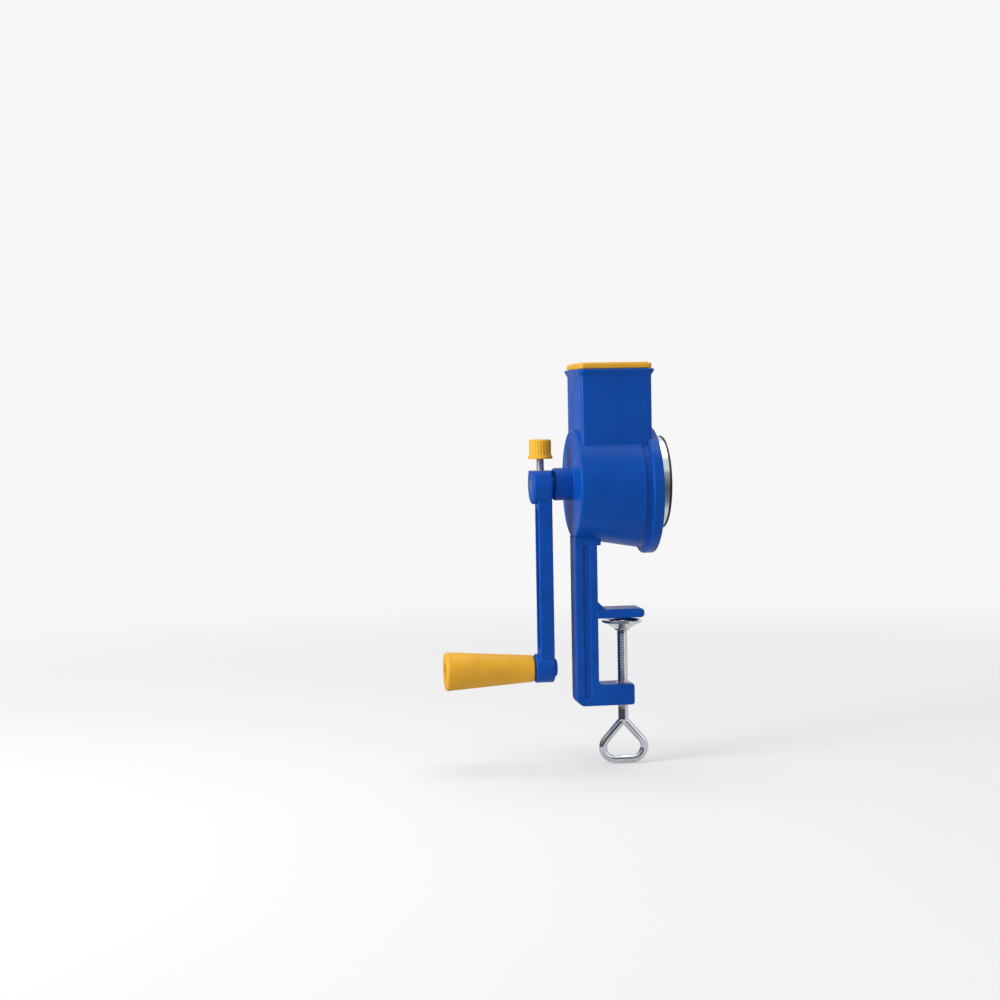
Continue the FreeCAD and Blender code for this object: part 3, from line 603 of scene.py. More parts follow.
# ---- Casing ----
def housing_radius(x):
    return CLOSED_RADIUS + (OPEN_RADIUS - CLOSED_RADIUS) * (x - CLOSED_END) / (OPEN_END - CLOSED_END)


def housing_centre(x):
    return AXIS - OPEN_DROP * (x - CLOSED_END) / (OPEN_END - CLOSED_END)


def housing_ring(x, depth=0.0):
    """The housing's outline at x, or that of a surface which lies deeper."""
    return circle_x(x, housing_centre(x), housing_radius(x) - depth, FINE_AROUND)


def housing_skin():
    """Boss, closed end, cone, groove and flange as one skin, whose centre drops towards the mouth."""
    cone_start = CLOSED_END + CONE_LEAD
    boss = rounded([(BOSS_END, 0), (BOSS_END, BOSS_RADIUS - BOSS_CHAMFER, BOSS_TIP_EDGE),
                    (BOSS_END + BOSS_CHAMFER, BOSS_RADIUS, BOSS_EDGE), (CLOSED_END, BOSS_RADIUS, BOSS_ROOT),
                    (CLOSED_END, CLOSED_RADIUS, CLOSED_EDGE), (cone_start, housing_radius(cone_start))],
                   closed=False)
    rings = [circle_x(x, housing_centre(max(x, CLOSED_END)), max(radius, TIP), FINE_AROUND)
             for x, radius in boss]
    for step in range(1, CONE_STEPS):
        rings.append(housing_ring(cone_start + (GROOVE_START - cone_start) * step / CONE_STEPS))
    groove = rounded([(GROOVE_START - GROOVE_LEAD, 0), (GROOVE_START, 0, GROOVE_EDGE),
                      (GROOVE_START, GROOVE_DEPTH, GROOVE_EDGE), (GROOVE_END - GROOVE_TAIL, GROOVE_DEPTH)],
                     closed=False, steps=FEW_STEPS)
    rings += [housing_ring(x, depth) for x, depth in groove]
    root = housing_radius(GROOVE_END) - GROOVE_DEPTH
    drop = housing_centre(GROOVE_END) - housing_centre(OPEN_END)
    flange = rounded([(GROOVE_END - GROOVE_TAIL, root), (GROOVE_END, root, FLANGE_ROOT),
                      (GROOVE_END, FLANGE_RADIUS, FLANGE_EDGE), (OPEN_END, FLANGE_RADIUS, FLANGE_EDGE),
                      (OPEN_END, FLANGE_CAP)], closed=False)
    for x, radius in flange[1:]:
        share = (radius - root) / (FLANGE_RADIUS - root) if x < OPEN_END - FLANGE_FRONT else 1.0
        centre = housing_centre(OPEN_END) + drop * (1 - min(1.0, max(0.0, share)))
        rings.append(circle_x(x, centre, radius, FINE_AROUND))
    return skin(rings)


def chamber_skin():
    """The inside of the housing, with a round edge at its mouth."""
    start, stop = CLOSED_END + WALL, OPEN_END - PAST
    rings = [housing_ring(start + (stop - start) * step / CONE_STEPS, WALL) for step in range(CONE_STEPS + 1)]
    for x, flare in flared_end(OPEN_END, MOUTH_EDGE)[1:]:
        rings.append(circle_x(x, housing_centre(OPEN_END), OPEN_RADIUS - WALL - flare, FINE_AROUND))
    return skin(rings)


def tower_skin():
    """The hopper from inside the housing to its flared rim."""
    levels = rounded([(AXIS, 0), (RIM - LIP_HEIGHT, 0, LIP_ROOT), (RIM - LIP_BAND, -LIP_REACH, LIP_EDGE),
                      (RIM, -LIP_REACH, RIM_EDGE), (RIM, 0)], closed=False, steps=LIP_STEPS)
    outline = rounded_rectangle(HOPPER_MIDDLE, 0, HOPPER_WIDTH, HOPPER_DEPTH, HOPPER_CORNER)
    return block(outline, levels[:-1], upright)


def well_skin():
    """The inside of the hopper, with a round edge at its rim."""
    width, depth = HOPPER_WIDTH - 2 * HOPPER_WALL, HOPPER_DEPTH - 2 * HOPPER_WALL
    outline = rounded_rectangle(HOPPER_MIDDLE, 0, width, depth, WELL_CORNER)
    return block(outline, [(AXIS, 0)] + flared_end(RIM, RIM_EDGE), upright)


def build_casing():
    casing = solid("casing", housing_skin())
    combine(casing, "UNION", tower_skin())
    combine(casing, "DIFFERENCE", chamber_skin(), well_skin())
    inner_boss = rounded([(CLOSED_END + PAST, TIP), (CLOSED_END + PAST, INNER_BOSS_RADIUS),
                          (INNER_BOSS_END, INNER_BOSS_RADIUS, INNER_BOSS_EDGE), (INNER_BOSS_END, TIP)],
                         closed=False)
    combine(casing, "UNION", turned_x(inner_boss))
    wide = BUSH_RADIUS + BORE_CHAMFER
    bore = [(BOSS_END - PAST, wide), (BOSS_END, wide), (BOSS_END + BORE_CHAMFER, BUSH_RADIUS),
            (INNER_BOSS_END - BORE_CHAMFER, BUSH_RADIUS), (INNER_BOSS_END, wide),
            (INNER_BOSS_END + PAST, wide)]
    combine(casing, "DIFFERENCE", turned_x(bore))
    tidy(casing, FLAT_ANGLE)
    dress(casing, "blue_plastic", "body_casing")


# ---- Bracket ----
def post_channels():
    """Cutters for the shallow channels in the post's two sides."""
    outline = rounded_rectangle((POST_OUTER + POST_INNER) / 2, (SADDLE_BASE + CHANNEL_LOW) / 2, CHANNEL_WIDTH,
                                SADDLE_BASE - CHANNEL_LOW, CHANNEL_CORNER)
    levels = round_end(0, CHANNEL_ROOT, -1) + flared_end(CHANNEL_DEPTH, CHANNEL_FLARE)
    floor = POST_HALF - CHANNEL_DEPTH
    return [block(outline, levels, lambda u, v, height, side=side: (u, side * (floor + height), v))
            for side in (-1, 1)]


def foot_bores():
    """Cutters for the clamp rod's hole and for its bush's seat above that."""
    bush_floor = FOOT_TOP - CLAMP_BUSH_DEPTH
    wide = ROD_HOLE + BORE_CHAMFER
    hole = [(FOOT_BOTTOM - PAST, wide), (FOOT_BOTTOM, wide), (FOOT_BOTTOM + BORE_CHAMFER, ROD_HOLE),
            (bush_floor + PAST, ROD_HOLE)]
    seat = [(z, CLAMP_BUSH_RADIUS) for z in (bush_floor, FOOT_TOP, FOOT_TOP + PAST)]
    return [turned_z(hole), turned_z(seat)]


def build_bracket():
    post = rounded([(POST_OUTER, POST_TOP), (POST_INNER, POST_TOP), (POST_INNER, FOOT_TOP, FOOT_ROOT),
                    (FOOT_REACH, FOOT_TOP, FOOT_CORNER), (FOOT_REACH, FOOT_BOTTOM, FOOT_CORNER),
                    (POST_OUTER, FOOT_BOTTOM, FOOT_HEEL)])
    post_width = both_ends(-POST_HALF, POST_HALF, POST_EDGE)
    bracket = solid("bracket", block(post, post_width, front))
    buried = POST_INNER - PAST
    jaw = rounded([(buried, 0), (JAW_REACH, 0, JAW_NOSE), (JAW_REACH, JAW_THICKNESS, JAW_NOSE),
                   (buried, JAW_THICKNESS)])
    gusset = rounded([(POST_INNER - GUSSET_REACH, GUSSET_LOW), (POST_INNER + GUSSET_REACH, GUSSET_LOW),
                      (buried, GUSSET_HIGH), (POST_INNER - GUSSET_REACH, GUSSET_HIGH)])
    saddle = rounded_rectangle((POST_MIDDLE + SADDLE_END) / 2, 0, SADDLE_END - POST_MIDDLE,
                               2 * POST_HALF - SADDLE_INSET, SADDLE_CORNER)
    combine(bracket, "UNION", block(jaw, both_ends(-JAW_HALF, JAW_HALF, JAW_EDGE), front),
            block(gusset, post_width, front),
            block(saddle, round_end(SADDLE_BASE, POST_EDGE, -1) + [(SADDLE_TOP, 0)], upright))
    cone = [housing_ring(CLOSED_END - PAST + (OPEN_END - CLOSED_END) * step / CONE_STEPS)
            for step in range(CONE_STEPS + 1)]
    combine(bracket, "DIFFERENCE", skin(cone), *post_channels(), *foot_bores())
    tidy(bracket, FLAT_ANGLE)
    dress(bracket, "blue_plastic", "clamp_bracket")


# ---- Drum ----
def drum_radius(x):
    return DRUM_SMALL + (DRUM_MOUTH - DRUM_SMALL) * (x - DRUM_START) / (DRUM_END - DRUM_START)


def drum_point(x, angle, lift):
    radius = drum_radius(x) + lift
    return x, radius * math.sin(angle), AXIS + radius * math.cos(angle)


def patch_edge(step):
    """Where a patch's edge is along one axis at a step round it, in patch widths from its middle."""
    return max(-0.5, min(0.5, abs(step % PATCH_STEPS - PATCH_STEPS / 2) * 4 / PATCH_STEPS - 1))


def grater_cell(x, angle, tooth):
    """One patch of the drum round a punched hole, with its burr outside."""
    width = 2 * math.pi / HOLES_AROUND
    rings = []
    for radius, lift in PUNCHED:
        ring = []
        for step in range(PATCH_STEPS):
            turn = 2 * math.pi * step / PATCH_STEPS
            u, v = patch_edge(step), patch_edge(step - PATCH_STEPS / 4)
            if radius:
                u = radius * math.cos(turn) / (drum_radius(x) * width)
                v = radius * math.sin(turn) / ROW_PITCH
            burr = BURR_MEAN + BURR_WAVE * math.cos(BURR_POINTS * turn)
            height = -TIN if lift < 0 else lift * tooth * burr
            ring.append(drum_point(x + v * ROW_PITCH, angle + u * width, height))
        rings.append(ring)
    return open_skin(rings)


def grater_ends():
    """The plain bands between the drum's ends and its holes."""
    first = DRUM_START + FIRST_ROW - ROW_PITCH / 2
    last = DRUM_END - FIRST_ROW + ROW_PITCH / 2
    skins = []
    for edge_x, inner_x in ((DRUM_START, first), (DRUM_END, last)):
        section = ((inner_x, 0), (edge_x, 0), (edge_x, -TIN), (inner_x, -TIN))
        skins.append(open_skin([[drum_point(x, angle, lift) for angle in turns(4 * HOLES_AROUND)]
                                for x, lift in section]))
    return skins


def build_drum():
    sizes = bpy.context.scene.grinder_sizes
    cells = grater_ends()
    for row in range(HOLE_ROWS):
        x = DRUM_START + FIRST_ROW + row * ROW_PITCH
        for step in range(HOLES_AROUND):
            angle = 2 * math.pi * (step + 0.5 * (row % 2)) / HOLES_AROUND
            cells.append(grater_cell(x, angle, sizes.tooth / MM))
    dress(solid("grater_drum", *cells), "tinplate", "drum_shell")
    band = rounded([(BAND_START, drum_radius(BAND_START)), (BAND_START, DRUM_MOUTH + TIN, BAND_START_EDGE),
                    (BAND_END, DRUM_MOUTH + TIN, BAND_END_EDGE), (BAND_END, DRUM_MOUTH, BAND_END_EDGE),
                    (DRUM_END, DRUM_MOUTH)], steps=FEW_STEPS)
    dress(solid("mouth_band", turned_x(band, closed=True, count=FINE_AROUND)), "tinplate", "drum_mouth_band")
    bead = [(BAND_END + BEAD * math.sin(a), DRUM_MOUTH + TIN + BEAD * math.cos(a))
            for a in turns(BEAD_AROUND)]
    rolled = turned_x(bead, closed=True, count=FINE_AROUND)
    # the bead's dark metal is painted shade along the mouth band's rolled edge
    dress(solid("mouth_bead", rolled), "dark_steel", "drum_mouth_bead")


# ---- Crank ----
def arm_pocket(floor, side):
    """A cutter for the long pocket in one face of the arm, which opens towards that side."""
    outline = rounded_rectangle(0, (ARM_POCKET_LOW + ARM_POCKET_HIGH) / 2, 2 * ARM_POCKET_HALF,
                                ARM_POCKET_HIGH - ARM_POCKET_LOW, ARM_POCKET_CORNER)
    levels = round_end(0, ARM_POCKET_ROOT, -1) + flared_end(ARM_POCKET_DEPTH, ARM_POCKET_FLARE)
    return block(outline, levels, lambda u, v, height: (floor + side * height, u, v))


def build_crank():
    bar = rounded([(-ARM_HALF, CRANK_END), (ARM_HALF, CRANK_END), (ARM_HALF, AXIS), (-ARM_HALF, AXIS)])
    crank = solid("crank", block(bar, both_ends(ARM_OUTER, CRANK_FACE - ARM_INSET, ARM_EDGE), sideways))
    hub = rounded([(CRANK_OUTER, TIP), (CRANK_OUTER, HUB_RADIUS, HUB_EDGE),
                   (CRANK_FACE, HUB_RADIUS, HUB_EDGE), (CRANK_FACE, TIP)], closed=False)
    end = rounded([(CRANK_END_OUTER, TIP), (CRANK_END_OUTER, CRANK_END_RADIUS, CRANK_END_EDGE),
                   (CRANK_FACE, CRANK_END_RADIUS, CRANK_END_EDGE), (CRANK_FACE, BUMP_RADIUS, BUMP_ROOT),
                   (BUMP_FACE, BUMP_RADIUS, BUMP_EDGE), (BUMP_FACE, TIP)], closed=False)
    combine(crank, "UNION", turned_x(hub), turned_x(end, CRANK_END))
    above_hub = rounded_rectangle(HUB_MIDDLE, 0, HUB_CUT_WIDTH, HUB_CUT_DEPTH, HUB_CUT_CORNER)
    combine(crank, "DIFFERENCE", block(above_hub, [(HUB_TOP, 0), (HUB_TOP + HUB_CUT_HEIGHT, 0)], upright),
            arm_pocket(ARM_OUTER + ARM_POCKET_DEPTH, -1), arm_pocket(CRANK_FACE - ARM_POCKET_DEPTH, 1),
            bore_x(CRANK_OUTER - PAST, CRANK_FACE + PAST, SHAFT_BORE, AXIS),
            bore_x(CRANK_OUTER - PAST, BUMP_FACE + PAST, BOLT_RADIUS, CRANK_END),
            bore_x(BUMP_FACE - NUT_DEPTH, BUMP_FACE + PAST, NUT_RADIUS, CRANK_END, count=NUT_SIDES),
            bore_z(INSERT_FLOOR, HUB_TOP + PAST, INSERT_RADIUS, SCREW_X),
            bore_z(AXIS, HUB_TOP, THUMB_BORE, SCREW_X))
    tidy(crank, FLAT_ANGLE)
    dress(crank, "blue_plastic", "crank_arm")


# ---- Handle ----
def build_handle():
    profile = rounded([(GRIP_INNER, GRIP_BORE), (GRIP_INNER, GRIP_INNER_RADIUS, GRIP_INNER_EDGE),
                       (GRIP_OUTER, GRIP_OUTER_RADIUS, GRIP_OUTER_EDGE),
                       (GRIP_OUTER, BOLT_POCKET_RADIUS, BOLT_POCKET_EDGE),
                       (BOLT_POCKET_FLOOR, BOLT_POCKET_RADIUS, BOLT_POCKET_ROOT),
                       (BOLT_POCKET_FLOOR, GRIP_BORE)])
    dress(solid("handle", turned_x(profile, CRANK_END, closed=True)), "yellow_plastic", "handle_grip")


# ---- Screws ----
def threaded(below, above, start, stop, pitch, depth, x=0.0):
    """A rod along Z with a helical thread between two turned ends, which are (z, radius) levels."""
    radius = below[-1][1]
    rings = [circle_z(x, z, end_radius, THREAD_AROUND) for z, end_radius in below]
    first = len(rings)
    rows = (int((stop - start) / pitch) + 3) * THREAD_STEPS + 1
    for row in range(rows):
        phase = row % THREAD_STEPS / THREAD_STEPS
        notch = 0.0 if phase < CREST else 0.5 - 0.5 * math.cos(2 * math.pi * (phase - CREST) / (1 - CREST))
        ring = []
        for index, angle in enumerate(turns(THREAD_AROUND)):
            climbed = (row / THREAD_STEPS - 1 + index / THREAD_AROUND) * pitch
            z = min(max(start + climbed, start), stop)
            cut = radius - depth * notch * min(1.0, (z - start) / pitch, (stop - z) / pitch)
            ring.append((x + cut * math.cos(angle), cut * math.sin(angle), z))
        rings.append(ring)
    rings += [circle_z(x, z, end_radius, THREAD_AROUND) for z, end_radius in above]
    points, faces = skin(rings)
    # each turn of the thread runs on into the next one where the rings close
    last = THREAD_AROUND - 1
    for level in range(first, first + rows - 1):
        low, high = level * THREAD_AROUND, (level + 1) * THREAD_AROUND
        lift = THREAD_STEPS * THREAD_AROUND if level + 1 + THREAD_STEPS < first + rows else 0
        faces[low + last] = (low + last, low + lift, high + lift, high + last)
    return points, faces


def knob_skin(flutes):
    """The knob, hollow for its shank, with flutes round its grip."""
    rings = []
    for z, radius in rounded(KNOB_SECTION, closed=False, steps=KNOB_STEPS):
        rise = min(1.0, max(0.0, (z - KNOB_BOTTOM - FLUTE_START) / FLUTE_RISE))
        depth = FLUTE_DEPTH * rise if radius > FLUTED_FROM else 0.0
        ring = []
        for angle in turns(flutes * FLUTE_POINTS):
            fluted = radius - depth * max(0.0, math.cos(flutes * angle)) ** FLUTE_SHARPNESS
            ring.append((SCREW_X + fluted * math.cos(angle), fluted * math.sin(angle), z))
        rings.append(ring)
    return skin(rings)


def build_thumb_screw():
    sizes = bpy.context.scene.grinder_sizes
    below = [(THUMB_START, SCREW_END_RADIUS), (THUMB_START + SCREW_CHAMFER, SCREW_RADIUS)]
    above = [(THUMB_STOP - SCREW_CHAMFER, SCREW_RADIUS), (THUMB_STOP, SCREW_END_RADIUS)]
    shank = threaded(below, above, HUB_TOP - PAST, KNOB_BOTTOM + PAST, sizes.thumb_pitch / MM,
                     THUMB_THREAD_DEPTH, SCREW_X)
    dress(solid("thumb_screw", shank), "zinc_steel", "thumb_screw_shank")
    dress(solid("knob", knob_skin(sizes.flutes)), "yellow_plastic", "thumb_knob")


def swept_ring(path):
    """The loop's round rod, bent round a closed line in the front plane."""
    rings = []
    for index, point in enumerate(path):
        run = (path[(index + 1) % len(path)] - path[index - 1]).normalized()
        across_run = Vector((run.y, -run.x))
        ring = []
        for angle in turns(LOOP_AROUND):
            spot = point + across_run * LOOP_RADIUS * math.cos(angle)
            ring.append((spot.x, LOOP_RADIUS * math.sin(angle), spot.y))
        rings.append(ring)
    return skin(rings, closed=True)


def evenly(line):
    """The closed line with points added on its long runs."""
    spaced = []
    for start, stop in zip(line, line[1:] + line[:1]):
        steps = max(1, int((stop - start).length / LOOP_GAP))
        spaced += [start.lerp(stop, step / steps) for step in range(steps)]
    return spaced


def loop_line():
    """The middle of the loop's rod: two sides that spread from the clamp rod's end to round corners."""
    reach = Vector((LOOP_HALF - LOOP_CORNER, LOOP_LOW + LOOP_CORNER)) - Vector((0, LOOP_APEX))
    lean = math.atan2(reach.x, -reach.y) + math.asin(LOOP_CORNER / reach.length)
    foot = (LOOP_APEX - LOOP_LOW) * math.tan(lean)
    return rounded([(0, LOOP_APEX, LOOP_APEX_CORNER), (foot, LOOP_LOW, LOOP_CORNER),
                    (-foot, LOOP_LOW, LOOP_CORNER)], steps=LOOP_STEPS)


def build_clamp_screw():
    sizes = bpy.context.scene.grinder_sizes
    below = []
    for step in range(ROD_END_STEPS + 1):
        angle = math.pi / 2 * step / ROD_END_STEPS
        below.append((LOOP_APEX - ROD_END * math.cos(angle), max(TIP, ROD_RADIUS * math.sin(angle))))
    rod = threaded(below, ROD_TOP, CLAMP_THREAD_START, CLAMP_THREAD_STOP, sizes.clamp_pitch / MM,
                   CLAMP_THREAD_DEPTH)
    screw = solid("screw_and_loop", rod)
    combine(screw, "UNION", swept_ring(evenly(loop_line())))
    tidy(screw, FLAT_ANGLE)
    dress(screw, "chrome", "clamp_screw")
    dress(solid("pad", turned_z(rounded(PAD_SECTION), closed=True)), "chrome", "clamp_pad")


# ---- Pusher ----
def rib_skin(y):
    """One rib across the plate at y, sunk a little into the plate's top."""
    shoulder, crest = PLATE_TOP + RIB_SHOULDER, PLATE_TOP + RIB_HEIGHT
    section = rounded([(y - RIB_FOOT, PLATE_TOP - RIB_SINK), (y + RIB_FOOT, PLATE_TOP - RIB_SINK),
                       (y + RIB_FOOT, shoulder, RIB_SHOULDER_EDGE), (y + RIB_CREST, crest, RIB_CREST_EDGE),
                       (y - RIB_CREST, crest, RIB_CREST_EDGE), (y - RIB_FOOT, shoulder, RIB_SHOULDER_EDGE)],
                      steps=FEW_STEPS)
    return block(section, [(HOPPER_MIDDLE + side * RIB_HALF_LENGTH, 0.0) for side in (-1, 1)], sideways)


def plunger_skin():
    """The plunger, a square cup that opens upward against the plate."""
    outline = rounded_rectangle(HOPPER_MIDDLE, 0, PLUNGER_WIDTH, PLUNGER_DEPTH, PLUNGER_CORNER)
    floor = PLUNGER_BOTTOM + PLUNGER_WALL
    levels = [(floor, PLUNGER_CAP), (floor, PLUNGER_WALL + PLUNGER_ROOT),
              (floor + PLUNGER_ROOT, PLUNGER_WALL), (PLATE_BOTTOM, PLUNGER_WALL), (PLATE_BOTTOM, 0.0)]
    return block(outline, levels + round_end(PLUNGER_BOTTOM, PLUNGER_EDGE, -1)[::-1], upright)


def build_pusher():
    sizes = bpy.context.scene.grinder_sizes
    outline = rounded_rectangle(HOPPER_MIDDLE, 0, PLATE_WIDTH, PLATE_DEPTH, PLATE_CORNER)
    levels = round_end(PLATE_BOTTOM, PLATE_LOW_EDGE, -1) + round_end(PLATE_TOP, PLATE_TOP_EDGE, 1)
    plate = solid("ribbed_plate", block(outline, levels, upright))
    spacing = PLATE_DEPTH / sizes.ribs
    ribs = [rib_skin(-PLATE_DEPTH / 2 + spacing * (step + 0.5)) for step in range(sizes.ribs)]
    combine(plate, "UNION", *ribs)
    tidy(plate, FLAT_ANGLE)
    dress(plate, "yellow_plastic", "pusher_plate")
    dress(solid("plunger", plunger_skin()), "white_plastic", "pusher_plunger")


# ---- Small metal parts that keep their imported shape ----
KEPT = {"clamp_bush": "bush_brass", "shaft_bush": "bush_brass", "hub_insert": "bush_brass",
        "thrust_washer": "zinc_steel", "crank_washer": "zinc_steel", "drum_shaft": "zinc_steel",
        "drum_hub": "zinc_steel", "drum_rivets": "zinc_steel", "handle_bolt": "zinc_steel",
        "handle_nut": "zinc_steel", "bracket_screws": "zinc_steel", "handle_washer": "dark_steel",
        "drum_end_disc": "tinplate"}


def finish_small_parts():
    """Each kept node has one material slot, which gets its finish."""
    for node, finish in KEPT.items():
        kept = frame["nodes"][node]
        kept.material_slots[0].material = finish_for(finish)


# ---- Studio ----
def build_floor(backdrop):
    ground = FRAME_BOX[0].z - FLOOR_GAP
    points, faces = skin([circle_z(0.0, ground / MM, radius, FLOOR_AROUND) for radius in FLOOR_RINGS])
    floor = solid("floor", (points, faces[:-1]))
    floor.data.materials.append(floor_finish(backdrop))
    return floor


def painted_reflection_card():
    """A card round the left side and just above the floor, seen only in the gloss of the pieces, whose glow is
    a painted reflection, dark near the floor and paler up its side.
    """
    glowing_card = bpy.data.objects.new("painted_reflection_card", bpy.data.meshes.new("painted_reflection_card"))
    points, faces = [], []
    for step in range(CARD_STEPS + 1):
        angle = math.radians(CARD_START + CARD_TURN * step / CARD_STEPS)
        for radius, height in CARD_SECTION:
            points.append((radius * math.sin(angle), -radius * math.cos(angle), height))
    size = len(CARD_SECTION)
    for step in range(CARD_STEPS):
        for low in range(size * step, size * step + size - 1):
            faces.append((low, low + size, low + size + 1, low + 1))
    glowing_card.data.from_pydata(points, [], faces)
    card = Finish("painted_reflection_glow")
    height = card.add("ShaderNodeSeparateXYZ", [(0, card.place)]).outputs["Z"]
    uneven = card.plus(height, card.ranged(card.noise(5.0), -0.12, 0.12))
    # painted reflection: the card glows darker near the floor and paler higher up, and only gloss rays see it
    tone = card.blended(card.ranged(uneven, 0.0, 1.0, start=0.0, stop=0.6), CARD_DARK_GLOW, CARD_PALE_GLOW)
    card.show(card.add("ShaderNodeEmission", [("Color", tone)]))
    glowing_card.data.materials.append(card.material)
    glowing_card.visible_camera = glowing_card.visible_shadow = glowing_card.visible_diffuse = False
    bpy.context.scene.collection.objects.link(glowing_card)
    return glowing_card


def seen_rays(tree):
    """1 for rays that show the background to the camera, straight on, in gloss or through glass."""
    path = tree.nodes.new("ShaderNodeLightPath")
    total = path.outputs["Is Camera Ray"]
    for name in ("Is Glossy Ray", "Is Transmission Ray"):
        both = tree.nodes.new("ShaderNodeMath")
        both.operation = "MAXIMUM"
        tree.links.new(total, both.inputs[0])
        tree.links.new(path.outputs[name], both.inputs[1])
        total = both.outputs[0]
    return total


def floor_finish(backdrop):
    """A pale floor that runs out into the backdrop."""
    finish = Finish("pale_floor", specular=0.0)
    finish.shader.inputs["Roughness"].default_value = 0.8
    finish.link(finish.blended(finish.noise(3.0, detail=3.0), shade(backdrop, 0.77), shade(backdrop, 0.81)),
                "Base Color")
    distance = finish.vector("LENGTH", finish.place).outputs["Value"]
    away = finish.times(finish.ranged(distance, 0.38, 1.0, start=0.2, stop=1.2), seen_rays(finish.tree))
    glow = finish.add("ShaderNodeEmission", [("Color", backdrop[:] + (1.0,)), ("Strength", 1.0)])
    shown = [(0, away), (1, finish.shader.outputs[0]), (2, glow.outputs[0])]
    finish.show(finish.add("ShaderNodeMixShader", shown))
    return finish.material


def light_room(studio):
    """The world: even light at the room's level, and the plain backdrop for the rays that show it."""
    world = bpy.data.worlds.new("studio")
    world.use_nodes = True
    bpy.context.scene.world = world
    tree = world.node_tree
    background = tree.nodes["Background"]
    background.inputs["Color"].default_value = studio.backdrop[:] + (1.0,)
    seen = seen_rays(tree)
    level = tree.nodes.new("ShaderNodeMapRange")
    level.inputs["To Min"].default_value = studio.room_light
    level.inputs["To Max"].default_value = 1.0
    tree.links.new(seen, level.inputs["Value"])
    tree.links.new(level.outputs[0], background.inputs["Strength"])


def hang_lamp(name, place, size, power):
    """A square lamp that points at the grinder."""
    lamp = bpy.data.objects.new(name, bpy.data.lights.new(name, "AREA"))
    lamp.data.size = size
    lamp.data.energy = power
    lamp.location = place
    lamp.rotation_mode = "QUATERNION"
    lamp.rotation_quaternion = (Vector(AIM) - Vector(place)).to_track_quat("-Z", "Y")
    bpy.context.scene.collection.objects.link(lamp)


def place_camera():
    camera = bpy.data.objects.new("camera", bpy.data.cameras.new("camera"))
    bpy.context.scene.collection.objects.link(camera)
    camera.data.lens = CAMERA_LENS
    camera.data.clip_end = CAMERA_REACH
    azimuth, elevation, roll = (math.radians(angle) for angle in CAMERA_ANGLES)
    back = Vector((math.sin(azimuth) * math.cos(elevation), -math.cos(azimuth) * math.cos(elevation),
                   math.sin(elevation)))
    right = Vector((0, 0, 1)).cross(back).normalized()
    up = back.cross(right)
    rolled_right = math.cos(roll) * right + math.sin(roll) * up
    rolled_up = math.cos(roll) * up - math.sin(roll) * right
    turn = Matrix((rolled_right, rolled_up, back)).transposed()
    camera.matrix_world = Matrix.Translation(CAMERA_PLACE) @ turn.to_4x4()
    bpy.context.scene.camera = camera


def build_studio():
    studio = bpy.context.scene.grinder_studio
    bpy.context.scene.view_settings.view_transform = "Standard"
    floor = build_floor(studio.backdrop)
    painted_reflection_card()
    light_room(studio)
    hang_lamp("key", KEY_PLACE, KEY_SIZE, studio.key_light)
    hang_lamp("fill", FILL_PLACE, FILL_SIZE, studio.fill_light)
    hang_lamp("top", TOP_PLACE, TOP_SIZE, studio.top_light)
    place_camera()


# ---- Values that a user would change ----
def length(name, description, default):
    return FloatProperty(name=name, description=description, default=default, min=0.0, subtype="DISTANCE",
                         unit="LENGTH", precision=5)


def colour(name, description, default):
    return FloatVectorProperty(name=name, description=description, default=default, min=0.0, max=1.0,
                               size=3, subtype="COLOR")


def lamp_power(name, description, default):
    return FloatProperty(name=name, description=description, default=default, min=0, unit="POWER")


class GrinderSizes(bpy.types.PropertyGroup):
    tooth: length("Tooth height", "How far the drum's punched teeth stand out", 0.0006)
    thumb_pitch: length("Thumb screw pitch", "Pitch of the thumb screw's thread", 0.001)
    clamp_pitch: length("Clamp screw pitch", "Pitch of the clamp screw's thread", 0.00125)
    flutes: IntProperty(name="Knob flutes", description="Flutes round the knob", default=24, min=6, max=60)
    ribs: IntProperty(name="Plate ribs", description="Ribs across the pusher's plate", default=10, min=4,
                      max=16)


class GrinderColours(bpy.types.PropertyGroup):
    casing: colour("Casing", "Blue of the casing, bracket and crank", (0.0, 0.058, 0.33))
    grips: colour("Grips", "Yellow of the handle, knob and pusher", (0.66, 0.34, 0.023))
    plunger: colour("Plunger", "White of the plunger", (0.63, 0.6, 0.58))
    zinc: colour("Zinc", "Plated fasteners and shaft", (0.55, 0.56, 0.58))
    tin: colour("Tinplate", "Drum and mouth band", (0.62, 0.66, 0.68))
    chrome: colour("Chrome", "Clamp screw and pad", (0.55, 0.57, 0.61))
    # the dark metal of the washer, and of the bead, where its dark is painted shade
    dark: colour("Dark steel", "Washer and bead", (0.05, 0.05, 0.055))
    brass: colour("Brass", "Bushes and insert", (0.6, 0.42, 0.16))


class GrinderStudio(bpy.types.PropertyGroup):
    backdrop: colour("Backdrop", "Floor and backdrop", (0.93, 0.93, 0.93))
    room_light: FloatProperty(name="Room light", description="Strength of the room's even light",
                              default=0.36, min=0)
    key_light: lamp_power("Key light", "Lamp at the left", 22.0)
    fill_light: lamp_power("Fill light", "Lamp at the front right", 3.6)
    top_light: lamp_power("Top light", "Lamp overhead", 15.0)


# ---- Operators ----
class GRINDER_OT_casing(bpy.types.Operator):
    """Build the hopper, drum housing and bearing boss"""
    bl_idname = "grinder.casing"
    bl_label = "Casing"

    def execute(self, context):
        build_casing()
        return {"FINISHED"}


class GRINDER_OT_bracket(bpy.types.Operator):
    """Build the clamp bracket"""
    bl_idname = "grinder.bracket"
    bl_label = "Bracket"

    def execute(self, context):
        build_bracket()
        return {"FINISHED"}


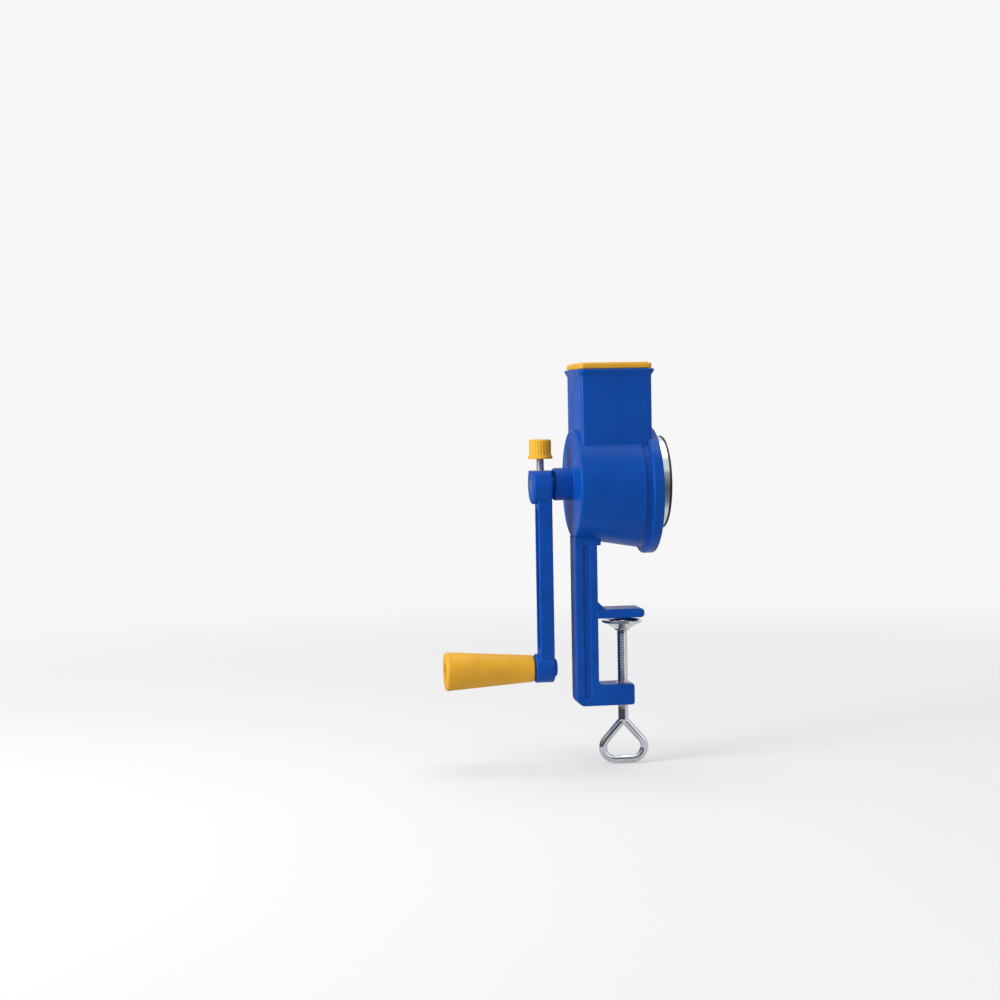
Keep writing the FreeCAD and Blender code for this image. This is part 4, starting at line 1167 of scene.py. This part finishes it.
class GRINDER_OT_drum(bpy.types.Operator):
    """Build the grater drum with its mouth band and bead"""
    bl_idname = "grinder.drum"
    bl_label = "Drum"

    def execute(self, context):
        build_drum()
        return {"FINISHED"}


class GRINDER_OT_crank(bpy.types.Operator):
    """Build the crank"""
    bl_idname = "grinder.crank"
    bl_label = "Crank"

    def execute(self, context):
        build_crank()
        return {"FINISHED"}


class GRINDER_OT_handle(bpy.types.Operator):
    """Build the turning handle"""
    bl_idname = "grinder.handle"
    bl_label = "Handle"

    def execute(self, context):
        build_handle()
        return {"FINISHED"}


class GRINDER_OT_thumb_screw(bpy.types.Operator):
    """Build the thumb screw and its knob"""
    bl_idname = "grinder.thumb_screw"
    bl_label = "Thumb Screw"

    def execute(self, context):
        build_thumb_screw()
        return {"FINISHED"}


class GRINDER_OT_clamp_screw(bpy.types.Operator):
    """Build the clamp screw with its loop and pad"""
    bl_idname = "grinder.clamp_screw"
    bl_label = "Clamp Screw"

    def execute(self, context):
        build_clamp_screw()
        return {"FINISHED"}


class GRINDER_OT_pusher(bpy.types.Operator):
    """Build the pusher's plate and plunger"""
    bl_idname = "grinder.pusher"
    bl_label = "Pusher"

    def execute(self, context):
        build_pusher()
        return {"FINISHED"}


class GRINDER_OT_small_parts(bpy.types.Operator):
    """Finish the small metal parts"""
    bl_idname = "grinder.small_parts"
    bl_label = "Small Metal Parts"

    def execute(self, context):
        finish_small_parts()
        return {"FINISHED"}


class GRINDER_OT_studio(bpy.types.Operator):
    """Set up the floor, lamps and camera"""
    bl_idname = "grinder.studio"
    bl_label = "Studio"

    def execute(self, context):
        build_studio()
        return {"FINISHED"}


OPERATORS = (GRINDER_OT_casing, GRINDER_OT_bracket, GRINDER_OT_drum, GRINDER_OT_crank, GRINDER_OT_handle,
             GRINDER_OT_thumb_screw, GRINDER_OT_clamp_screw, GRINDER_OT_pusher, GRINDER_OT_small_parts,
             GRINDER_OT_studio)


class GRINDER_PT_panel(bpy.types.Panel):
    """The grinder's pieces, sizes and colours"""
    bl_idname = "GRINDER_PT_panel"
    bl_label = "Nut Grinder"
    bl_space_type = "VIEW_3D"
    bl_region_type = "UI"
    bl_category = "Grinder"

    def draw(self, context):
        layout = self.layout
        for operator in OPERATORS:
            layout.operator(operator.bl_idname)
        scene = context.scene
        for group in (scene.grinder_sizes, scene.grinder_colours, scene.grinder_studio):
            column = layout.column()
            for name in group.bl_rna.properties.keys():
                if name not in ("rna_type", "name"):
                    column.prop(group, name)


CLASSES = (GrinderSizes, GrinderColours, GrinderStudio) + OPERATORS + (GRINDER_PT_panel,)


def register():
    for entry in CLASSES:
        bpy.utils.register_class(entry)
    bpy.types.Scene.grinder_sizes = PointerProperty(type=GrinderSizes)
    bpy.types.Scene.grinder_colours = PointerProperty(type=GrinderColours)
    bpy.types.Scene.grinder_studio = PointerProperty(type=GrinderStudio)


def unregister():
    del bpy.types.Scene.grinder_studio
    del bpy.types.Scene.grinder_colours
    del bpy.types.Scene.grinder_sizes
    for entry in reversed(CLASSES):
        bpy.utils.unregister_class(entry)


def main():
    register()
    bpy.ops.grinder.casing()
    bpy.ops.grinder.bracket()
    bpy.ops.grinder.drum()
    bpy.ops.grinder.crank()
    bpy.ops.grinder.handle()
    bpy.ops.grinder.thumb_screw()
    bpy.ops.grinder.clamp_screw()
    bpy.ops.grinder.pusher()
    bpy.ops.grinder.small_parts()
    bpy.ops.grinder.studio()


if __name__ == "__main__":
    main()
